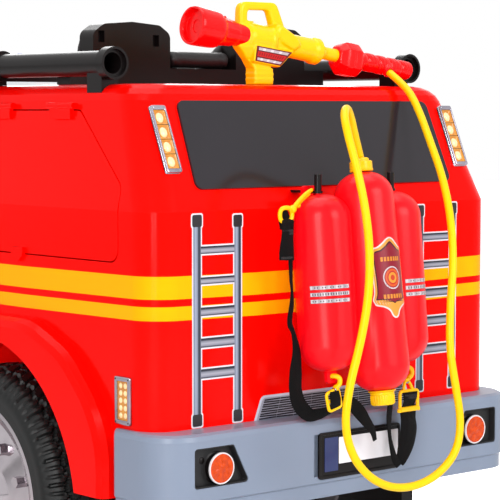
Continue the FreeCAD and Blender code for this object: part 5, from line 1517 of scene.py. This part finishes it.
@dataclass
class WaterGun:
    """The hand-held pump gun that stands on the roof."""

    palette: Palette
    y: float = 460.0
    tilt: float = 7.8
    heel: tuple[float, float] = (79, 762)
    bell: float = 24.4
    label_corners: tuple[Vector, ...] = (Vector((58.5, 748)), Vector((-2, 740.5)), Vector((15, 723.2)),
                                         Vector((58.5, 729)))

    def point(self, x: float, rise: float = 0.0) -> Vector:
        """Place on the gun's centre line at this x, moved up across it."""
        lean = radians(self.tilt)
        middle = Vector((x, self.y, self.heel[1] + (x - self.heel[0]) * tan(lean)))
        return middle + Vector((-sin(lean), 0, cos(lean))) * rise

    @property
    def axis(self) -> Vector:
        """The gun's own direction, towards its nozzle."""
        lean = radians(self.tilt)
        return Vector((cos(lean), 0, sin(lean)))

    def slab(self, build: Build, outline: Outline, half: float, edge: float, hole: Outline | None = None) -> None:
        """A flat part of the gun with rounded edges on both faces.

        Args:
            build: the mesh to add to.
            outline: its outline as (x, z).
            half: half its thickness.
            edge: the rounding of its edges.
            hole: an opening of equal count.
        """
        place = Frame(Y * self.y, X, Z, Y)
        bevel = edge * 0.3
        steps = [(-half, edge), (-half + bevel, bevel), (-half + edge, 0), (half - edge, 0), (half - bevel, bevel),
                 (half, edge)]
        rings = [place.lay(shrunk(outline, inset), height) for height, inset in steps]
        if hole is None:
            build.loft(rings)
            return
        holes = [place.lay(shrunk(hole, -inset), height) for height, inset in reversed(steps)]
        build.loft([*rings, *holes, rings[0]], caps=OPEN)

    def body(self) -> None:
        """Housing, foot, stepped barrel and carry loop, blended as one moulding."""
        build = Build()
        levels = ((699.6, 22.9, 55.1, 9.6), (711, 23.2, 54.8, 9.6), (719.5, 23.6, 54.8, 9.9),
                  (733, 7.5, 67, 12.4), (746.5, -9.5, 78.6, 14.8), (757, -10.5, 79, 15.2),
                  (764, -8, 79, 14.6), (772, 14, 78.6, 11.5), (779.5, 50, 76, 7))
        shoulder = 730
        rings = []
        for z, left, right, half in levels:
            nose, back = (half * 0.5, right - 15) if z > shoulder else (half, right - 4)
            outline = rounded([(left, -half), (back, -half), (right, -nose), (right, nose), (back, half), (left, half)],
                              [3.2, 2, 3.2, 3.2, 2, 3.2], 5)
            rings.append([Vector((x, self.y + across, z)) for x, across in outline])
        build.loft(rings)
        outer = [(77, 770), (76, 803.5), (15, 804), (-10, 748), (14, 746)]
        inner = [(63.5, 772), (63, 793), (28, 793.5), (17, 761), (28, 765)]
        self.slab(build, rounded(outer, [2, 13, 12, 6, 4], 6), 6.4, 3, hole=rounded(inner, [2, 6, 7, 2, 2], 6))
        barrel = [(22.5, [(12, -2), (17, -1), (18.4, 1.5), (18.8, 37), (18, 42), (14, 44.5)]),
                  (22.5, [(12, 3.6), (19.4, 4.2), (19.4, 6.6), (12, 7.2)]),
                  (-60, [(10, -0.5), (15.6, 0.4), (16.9, 2), (16.9, 12.6), (15.6, 14.4), (15, 70),
                         (15, 102)]),
                  (-96, [(8.5, 0), (8.5, 34.6), (10, 38)]),
                  (-96, [(6, 26), (9.6, 27), (9.6, 30), (6, 31)])]
        barrel += [(-60, [(10, rib - 1.2), (17.7, rib - 0.6), (17.7, rib + 0.6), (10, rib + 1.2)])
                   for rib in (3.2, 6.4, 9.6)]
        for start, profile in barrel:
            build.revolve(profile, self.point(start), self.axis, 48)
        for rise in (706, 712.5):
            outline = rounded(block(-10.2, 22.4, 10.2, 55.6), 3.2, 5)
            build.loft([[Vector((x, self.y + across, rise + step)) for x, across in outline] for step in (-1.2, 1.2)])
        build.loft([[self.label_place(share_x, share_z, depth) for share_x, share_z in pad]
                    for depth, pad in ((-12, self.label_edge(0.10)), (-1.2, self.label_edge(0.08)),
                                       (0.0, self.label_edge(0.04)))])
        saddle = rounded([(20, 778), (-12, 760), (-20, 749), (-6, 742), (16, 752), (27, 768)], [7, 5, 5, 6, 6, 6], 5)
        self.slab(build, saddle, 18.6, 5)
        build.done("gun_housing", [self.palette.of(Slot.YELLOW_PLASTIC)], Slot.YELLOW_PLASTIC,
                   replaces=("gun_body",), weld=1.1, softness=5)

    def label_place(self, along: float, rise: float, height: float) -> Vector:
        """A place on the slanting label pad, by shares of its sides and its height over the pad."""
        top_left, top_right, low_right, low_left = self.label_corners
        flat = low_left.lerp(low_right, along).lerp(top_left.lerp(top_right, along), rise)
        return Vector((flat.x, self.y + 12.8 + (flat.y - 723) * 0.2 + height, flat.y))

    @staticmethod
    def label_edge(grow: float) -> Outline:
        """The label's outline in shares of its sides, grown all round."""
        wide = grow * 0.5
        return [(-wide, -grow), (1 + wide, -grow), (1 + wide, 1 + grow), (-wide, 1 + grow)]

    def label(self) -> None:
        """Lay a red label with silver bars on the housing's pad."""
        build = Build()

        def patch(layer: int, left: float, right: float, low: float, high: float, colour: Colour) -> None:
            """A patch of the label on one of its layers, by shares of its sides."""
            build.face(build.ring(self.label_place(u, v, FILM + 0.1 * layer) for u, v in block(low, left, high, right)),
                       0, colour)

        patch(1, 0, 1, 0, 1, (118, 14, 20))
        patch(2, 0.05, 0.95, 0.34, 0.66, (214, 22, 26))
        for low, high in ((0.74, 0.92), (0.09, 0.25)):
            patch(3, 0.06, 0.94, low, high, (206, 196, 202))
            for left in (0.18, 0.42, 0.66):
                patch(4, left, left + 0.08, low, high, (240, 234, 238))
        for step in range(11):
            left = 0.10 + 0.075 * step
            patch(3, left, left + 0.035, 0.41, 0.60, (150, 16, 22))
        build.done("gun_label_print", [self.palette.film], Slot.YELLOW_PLASTIC, face_out=False)

    def nozzle(self) -> None:
        """Red bell nozzle with lengthwise ribs on its neck."""
        build = Build()
        length = (150.0 - 66) / cos(radians(self.tilt))
        profile = [(-0.09, 0.50), (-0.086, 0.585), (0.012, 0.59), (0.17, 0.595), (0.185, 0.60), (0.20, 0.62),
                   (0.33, 0.655), (0.46, 0.72), (0.50, 0.80), (0.53, 0.88), (0.56, 0.925), (0.60, 0.948), (0.64, 0.96),
                   (0.78, 0.985), (0.90, 1), (0.95, 1), (0.985, 0.985), (1, 0.955), (1, 0.87), (0.99, 0.84),
                   (0.92, 0.80), (0.905, 0.77), (0.90, 0.34), (0.895, 0.32), (0.885, 0.31), (0.88, 0.16)]

        def ribs(turn: float, along: float) -> float:
            """Lengthwise ribs on the neck and fine flutes on the bell."""
            share = along / length
            if 0.21 < share < 0.45:
                return 1.0 + 0.055 * max(0.0, cos(turn * 10)) ** 2
            if 0.66 < share < 0.93:
                return 1.0 - 0.012 * max(0.0, cos(turn * 16)) ** 6
            return 1.0
        rows = [(self.bell * size, length * place)
                for place, size in divided(profile, lambda start, end: 4 if end[0] - start[0] > 0.06 else 1)]
        build.revolve(rows, self.point(66.3), self.axis, 96, wobble=ribs)
        stud = self.point(66.3 + length * 0.40, 17.4)
        build.revolve([(3.2, -0.6), (3.2, 1.2), (2.4, 2.2), (0.0, 2.6)], stud, self.point(0, 1) - self.point(0), 20)
        build.done("gun_nozzle_bell", [self.palette.of(Slot.GUN_RED)], Slot.GUN_RED, replaces=("gun_nozzle",))

    def grip(self) -> None:
        """Pump grip: faceted block, then a handle with slanted grooves."""
        build = Build()
        half, corner, side = 20, 9, 17.0
        outline = rounded([(side, -half + corner), (side, half - corner), (side - corner, half), (corner - side, half),
                           (-side, half - corner), (-side, corner - half), (corner - side, -half),
                           (side - corner, -half)], 2.6, 4)
        facets = [(-91.8, 0.62), (-92.6, 0.70), (-94, 0.76), (-100, 0.99), (-102.4, 1.05), (-104.6, 1.07),
                  (-122.6, 1.07), (-124.8, 1.055), (-127, 1), (-132.2, 0.80), (-133.8, 0.75), (-134.6, 0.69)]
        ribs = [[(x - 0.7, 1.06), (x - 0.4, 1.08), (x + 0.4, 1.08), (x + 0.7, 1.06)] for x in (-112, -115.5)]
        for stations in (facets, *ribs):
            whole = stations is facets
            build.loft([[self.point(x, rise * size - 2.2) + Y * (across * size) for across, rise in outline]
                        for x, size in stations], caps=(whole, whole))
        run = (-131.0 + 226) / 4.5

        def groove(turn: float, along: float) -> float:
            """Groups of slanted grooves, with a plain swell at the end.

            Args:
                turn: angle round the handle.
                along: distance along it.

            Returns:
                The share of the radius there.
            """
            place = along / run
            if place < 0.35 or place > 4.2:
                return 0.93 if place < 0.2 else 0.985
            slant = place + 0.10 * sin(turn)
            within = (slant - 0.5) % 1.0
            dip = 0.5 + 0.5 * cos(within * 2 * pi)
            fine = 0.5 + 0.5 * cos(within * 8 * pi)
            return 1.0 - 0.085 * dip ** 4 - 0.022 * fine ** 2
        length = 95.0 / cos(radians(self.tilt))
        rows = [(12.4, length * step / 120) for step in range(118)]
        rows += [(12.2, length * 0.985), (11.4, length * 0.996), (9.6, length), (0.0, length)]
        build.revolve(rows, self.point(-131), -self.axis, 64, wobble=groove, caps=(True, False))
        out = Vector((0, cos(0.6), -sin(0.6)))
        mouth = self.point(-178) + out * 17.5
        socket = [(8, -9), (7.8, -2), (7.2, -0.4), (6.4, 0), (5.6, -0.4), (5.3, -2)]
        build.revolve(socket, mouth, out, 36, caps=OPEN)
        build.done("gun_pump_grip", [self.palette.of(Slot.GUN_RED)], Slot.GUN_RED, replaces=("gun_grip",))

    def build(self) -> None:
        """Make the gun."""
        self.body()
        self.label()
        self.nozzle()
        self.grip()
        log.info("water gun made")


# Wheels


@dataclass
class Tyres:
    """Chunky rubber tyres with zigzag treads, on the CAD's plated wheels."""

    palette: Palette
    wheel_x: float = 265.0
    front_y: float = -426.0
    rear_y: float = 224.0
    radius: float = 169.0
    pitches: int = 32
    groove: float = 5.0

    def profile(self) -> list[tuple[float, float]]:
        """Radius and place across, from the inner bead round the tread to the outer one."""
        half = [(114.6, 34), (114.4, 36.4), (117.5, 39.4), (121, 43.5), (123.6, 47.6), (127, 49.4), (131, 49.9),
                (135.5, 49.5), (140, 49.9), (144.5, 50), (148.5, 49.4), (152, 47.6), (156, 44.6),
                (159.6, 41.4), (162.6, 38.6), (164.6, 36.4), (166.4, 33.6), (167.6, 30), (168.3, 25.5),
                (168.7, 20.5), (168.9, 15.5), (169, 11.6), (169, 7.8), (169, 4), (169, 0.6)]
        return [(radius, -across) for radius, across in half] + [(radius, across) for radius, across in half[::-1]]

    def cut(self, turn: float, across: float, radius: float) -> float:
        """How deep the tread is cut at an angle and a place across.

        Args:
            turn: angle round the axle.
            across: place across the tread.
            radius: radius of the plain profile there.

        Returns:
            The groove's depth.
        """
        if radius < 150.0:
            return 0.0
        pitch = 2 * pi / self.pitches
        phase = turn / pitch
        wave = abs((phase % 1) * 2 - 1) * 2 - 1
        edge = abs(across)
        depth = 0.0
        for middle, swing, half in ((0, 8.5, 2), (23, 4.6, 1.9), (-23, 4.6, 1.9)):
            if abs(across - middle - swing * wave) < half:
                depth = self.groove
        slant = (phase + across * 0.021) % 1.0
        if 2.0 < edge < 24.0 and min(abs(slant - 0.25), abs(slant - 0.75)) < 0.05:
            depth = max(depth, self.groove * 0.7)
        if edge > 24.0:
            lug = (phase * 3 + (0.25 if across > 0 else 0.0) + edge * 0.012) % 1.0
            if lug < 0.36:
                fade = 1.0 if edge < 41 else max(0.0, (50.5 - edge) / 9.5)
                depth = max(depth, (self.groove * (0.62 if (phase * 3) % 3 > 1 else 0.9)) * fade)
        return depth

    def one(self, name: str, side: Side, axle_y: float) -> None:
        """Make one tyre.

        Args:
            name: the wheel's place in the names.
            side: which side it is on.
            axle_y: its axle's place.
        """
        build = Build()
        centre = Vector((side.value * self.wheel_x, axle_y, self.radius))
        profile = self.profile()
        dense = divided(profile, lambda start, end: 2 if min(start[0], end[0]) > 158 else 1)
        rings = []
        for turn in turns(self.pitches * 15):
            out = Y * cos(turn) + Z * sin(turn)
            ring = []
            for radius, across in dense:
                reach = radius - self.cut(turn, across, radius)
                ring.append(centre + out * reach + X * (side.value * across))
            rings.append(ring)
        build.loft([*rings, rings[0]], closed=False, caps=OPEN)
        place = f"{name}_{side.word}"
        build.done(f"tyre_{place}_tread", [self.palette.of(Slot.TYRE)], Slot.TYRE, body=f"wheel_{place}",
                   replaces=(f"tyre_{place}",), angle=30)

    def build(self) -> None:
        """Make all four."""
        for side in Side:
            self.one("front", side, self.front_y)
            self.one("rear", side, self.rear_y)
        log.info("tyres made")


# Seat upholstery


@dataclass(frozen=True)
class Sewing:
    """Channels sewn along a pad and the seam round them; each has its depth and its width, in millimetres."""

    low: float
    high: float
    channel: tuple[float, float]
    seam: tuple[float, float]
    top_reach: tuple[float, float]
    left: float = 34.0
    right: float = 166.0
    middles: tuple[float, ...] = (67, 100, 133)
    overlap: float = 2.0

    def depth(self, x: float, along: float) -> float:
        """How deep the thread draws the pad in.

        Args:
            x: place across the pad, on either side.
            along: place along it.

        Returns:
            The depth there.
        """
        x = abs(x)
        deep, wide = self.channel
        inside = self.left < x < self.right and self.low < along < self.high
        depths = [deep * exp(-((x - middle) / wide) ** 2) for middle in self.middles if inside]
        gaps = []
        if self.low - self.overlap < along < self.high + self.overlap:
            gaps += [abs(x - self.left), abs(x - self.right)]
        if self.left - self.overlap < x < self.right + self.overlap:
            gaps.append(abs(along - self.low))
        if self.top_reach[0] < x < self.top_reach[1]:
            gaps.append(abs(along - self.high))
        deep, wide = self.seam
        return max([0.0, *depths, *(deep * exp(-(gap / wide) ** 2) for gap in gaps)])


@dataclass
class Seats:
    """Padded leatherette cushions and backs, and the roll between the head rests."""

    palette: Palette

    def pad(self, name: str, node: str, outline: Outline, place: Frame, low: float, high: float, cap: float,
            channels: Callable[[Vector], float]) -> None:
        """Blow up one pad and sew its channels.

        Args:
            name: the piece's name.
            node: the node that it stands for.
            outline: its outline on the frame.
            place: the frame that it lies on.
            low: where the pad starts.
            high: where it ends before it swells.
            cap: how far it may swell, in millimetres.
            channels: depth of the sewn channels at a place, from 0 to 1.
        """
        build = Build()
        build.loft([place.lay(shrunk(outline, inset), height) for height, inset in
                    ((low, 3), (low + 3, 0), (high - 5, 0), (high - 1.5, 2), (high, 6))])
        bmesh.ops.recalc_face_normals(build.mesh, faces=build.mesh.faces)
        data = bpy.data.meshes.new(name)
        build.mesh.to_mesh(data)
        build.mesh.free()
        pad = put(name, data)
        remesh = pad.modifiers.new("remesh", "REMESH")
        remesh.mode = "VOXEL"
        remesh.voxel_size = 5.0 * MM
        data = self.applied(pad)
        rest = [vertex.co.copy() for vertex in data.vertices]
        cloth = pad.modifiers.new("cloth", "CLOTH")
        cloth.settings.use_pressure = True
        cloth.settings.uniform_pressure_force = 4.0
        cloth.settings.effector_weights.gravity = 0.0
        cloth.point_cache.frame_start = 1
        cloth.point_cache.frame_end = 20
        for step in range(1, 21):
            bpy.context.scene.frame_set(step)
        data = self.applied(pad)
        bpy.context.scene.frame_set(1)
        floor = place.at(0, 0, low) * MM
        for vertex, start in zip(data.vertices, rest):
            move = vertex.co - start
            if move.length > cap * MM:
                move = move.normalized() * (cap * MM)
            below = (start + move - floor).dot(place.out)
            if below < 0:
                move -= place.out * below
            vertex.co = start + move
        divide = pad.modifiers.new("divide", "SUBSURF")
        divide.levels = divide.render_levels = 1
        data = self.applied(pad)
        normals = [vertex.normal.copy() for vertex in data.vertices]
        for vertex, normal in zip(data.vertices, normals):
            depth = channels(vertex.co / MM)
            if depth > 0 and normal.dot(place.out) > 0.2:
                vertex.co -= place.out * (depth * MM)
        for polygon in data.polygons:
            polygon.use_smooth = True
        data.materials.append(self.palette.of(Slot.LEATHER))
        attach(pad, "vehicle")
        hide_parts(node)

    @staticmethod
    def applied(piece: bpy.types.Object) -> bpy.types.Mesh:
        """Apply a piece's modifiers to its mesh."""
        graph = bpy.context.evaluated_depsgraph_get()
        data = bpy.data.meshes.new_from_object(piece.evaluated_get(graph))
        piece.modifiers.clear()
        piece.data = data
        data.name = piece.name
        return data

    def cushion(self, side: Side) -> None:
        """A seat pad with sewn channels across it."""
        left, right = sorted((side.value * 8, side.value * 191.5))
        outline = rounded(block(45, left, 266, right), 15, 6)
        sewing = Sewing(70, 244, (4, 2.6), (3.4, 2.4), (32, 168))
        self.pad(f"seat_pad_{side.word}", "seat_cushions", outline, Frame(Z * 305.4, X, Y, Z), 0.4, 31, 8,
                 lambda point: sewing.depth(point.x, point.y))

    def back(self, side: Side) -> None:
        """A back pad that rises into its head rest."""
        points = [(10, 350), (193, 350), (193, 726), (176, 768), (64, 768), (10, 726)]
        outline = rounded([(side.value * x, z) for x, z in points], [14, 14, 12, 14, 14, 12], 5)
        sewing = Sewing(380, 690, (2.6, 2.4), (2.4, 2.2), (8, 194))
        self.pad(f"back_pad_{side.word}", "seat_backrests", outline, Frame(Y * 269.6, X, Z, -Y), 0.3, 15, 5,
                 lambda point: sewing.depth(point.x, point.z))

    def roll(self) -> None:
        """A bundle of leatherette between the head rests."""
        build = Build()
        left, right = -50.5, 50.5
        steps = 60
        rings = []
        for step in range(steps + 1):
            share = step / steps
            x = left + (right - left) * share
            end = min(share, 1 - share)
            size = 11.6 * (1.0 - 0.55 * max(0.0, 1 - end / 0.06) ** 2)
            ends = max(0.0, 1 - end / 0.28)
            ring = []
            for turn in turns(48):
                fold = (0.012 * sin(turn * 2 + share * 7) + 0.035 * ends * sin(turn * 4 - share * 31)
                        + 0.02 * ends * sin(share * 70 + 2 * sin(turn)))
                reach = min(11.9, size * (0.93 + fold))
                ring.append(Vector((x, 285.0 + cos(turn) * reach, 734.3 + sin(turn) * reach)))
            rings.append(ring)
        build.loft(rings)
        roll = build.done("head_roll", [self.palette.of(Slot.LEATHER)], Slot.LEATHER, replaces=("seat_backrests",),
                          angle=60)

    def build(self) -> None:
        """Upholster the bench."""
        for side in Side:
            self.cushion(side)
            self.back(side)
        self.roll()
        log.info("seats upholstered")


# Floor, lights and camera


@dataclass
class Studio:
    """Pale floor, soft lamps, white surroundings and the camera at the photograph's place."""

    floor_half: float = 12.0
    surround: float = 0.42
    shadow_share: float = 0.25
    camera_place: Place = (1.6734, 2.3486, 0.6668)
    camera_azimuth: float = 139.407
    camera_pitch: float = 4.083
    sensor: float = 36.0
    lens: float = 140.9

    def camera(self) -> None:
        """Place the camera and make it the scene's own."""
        data = bpy.data.cameras.new("camera")
        data.sensor_width = self.sensor
        data.lens = self.lens
        camera = put("camera", data)
        camera.location = self.camera_place
        camera.rotation_euler = (radians(90 - self.camera_pitch), 0, radians(self.camera_azimuth))
        bpy.context.scene.camera = camera

    def world(self) -> None:
        """White to the camera and in reflections, a soft grey as a light."""
        world = bpy.data.worlds.new("studio")
        bpy.context.scene.world = world
        world.use_nodes = True
        tree = world.node_tree
        background = tree.nodes["Background"].inputs
        background["Color"].default_value = (1, 1, 1, 1)
        paths = tree.nodes.new("ShaderNodeLightPath").outputs
        seen = Effects.maths(tree, "MAXIMUM", paths["Is Camera Ray"], paths["Is Transmission Ray"])
        seen = Effects.maths(tree, "MAXIMUM", seen, paths["Is Glossy Ray"])
        tree.links.new(Effects.maths(tree, "MAXIMUM", seen, self.surround), background["Strength"])

    def floor(self) -> None:
        """Lay the floor."""
        half = self.floor_half
        mesh = bpy.data.meshes.new("floor")
        mesh.from_pydata([(-half, -half, 0), (half, -half, 0), (half, half, 0), (-half, half, 0)], [], [(0, 1, 2, 3)])
        floor = put("floor", mesh)
        material = bpy.data.materials.new("floor")
        material.use_nodes = True
        tree = material.node_tree
        sockets = tree.nodes["Principled BSDF"].inputs
        sockets["Base Color"].default_value = (0.86, 0.86, 0.86, 1)
        sockets["Roughness"].default_value = 0.7
        sockets["Emission Color"].default_value = (1, 1, 1, 1)
        seen = tree.nodes.new("ShaderNodeLightPath").outputs["Is Camera Ray"]
        tree.links.new(Effects.maths(tree, "MULTIPLY", seen, 1 - self.shadow_share), sockets["Emission Strength"])
        mesh.materials.append(material)

    def lamp(self, name: str, place: Place, aim: Place, size: tuple[float, float], power: float) -> None:
        """Hang one softbox.

        Args:
            name: the lamp's name.
            place: where it hangs.
            aim: what it points at.
            size: its width and height.
            power: its power in watts.
        """
        data = bpy.data.lights.new(name, "AREA")
        data.shape = "RECTANGLE"
        data.size, data.size_y = size
        data.energy = power
        lamp = put(name, data)
        lamp.location = place
        lamp.rotation_euler = (Vector(aim) - Vector(place)).to_track_quat("-Z", "Y").to_euler()

    def build(self) -> None:
        """Set the whole studio."""
        self.world()
        self.floor()
        for lamp in (("key_strip", (3.25, 2.45, 1.6), (0, 0.2, 0.6), (0.22, 2.9), 46),
                     ("second_strip", (2.85, 3.0, 1.6), (0, 0.2, 0.6), (0.22, 2.9), 46),
                     ("rear_lamp", (-0.7, 4.1, 2.0), (0, 0.3, 0.4), (2.2, 2.2), 78),
                     ("top_lamp", (0.0, 0.0, 3.6), (0, 0, 0.4), (3.0, 3.0), 60),
                     ("front_lamp", (-2.4, -3.4, 2.4), (0, -0.2, 0.4), (2.4, 2.4), 70)):
            self.lamp(*lamp)
        self.camera()
        bpy.context.scene.view_settings.view_transform = "Standard"


# The frame's own nodes


@dataclass
class FrameDress:
    """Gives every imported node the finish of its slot."""

    palette: Palette

    def build(self) -> None:
        """Dress each node."""
        slots = {part["node"]: part["material_slot"] for part in frame["record"]["subparts"]}
        for name, node in frame["nodes"].items():
            node.data.materials.clear()
            node.data.materials.append(self.palette.of(Slot(slots[name])))
        log.info("%d nodes dressed", len(slots))


def main() -> None:
    """Build every sub-assembly in order."""
    logging.basicConfig(level=logging.INFO, format="%(message)s")
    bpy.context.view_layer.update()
    palette = Palette()
    FrameDress(palette).build()
    Hose(palette).build()
    Studio().build()
    Decals(palette).build()
    Lamps(palette).build()
    TankFittings(palette).build()
    WaterGun(palette).build()
    Tyres(palette).build()
    Seats(palette).build()


if __name__ == "__main__":
    main()
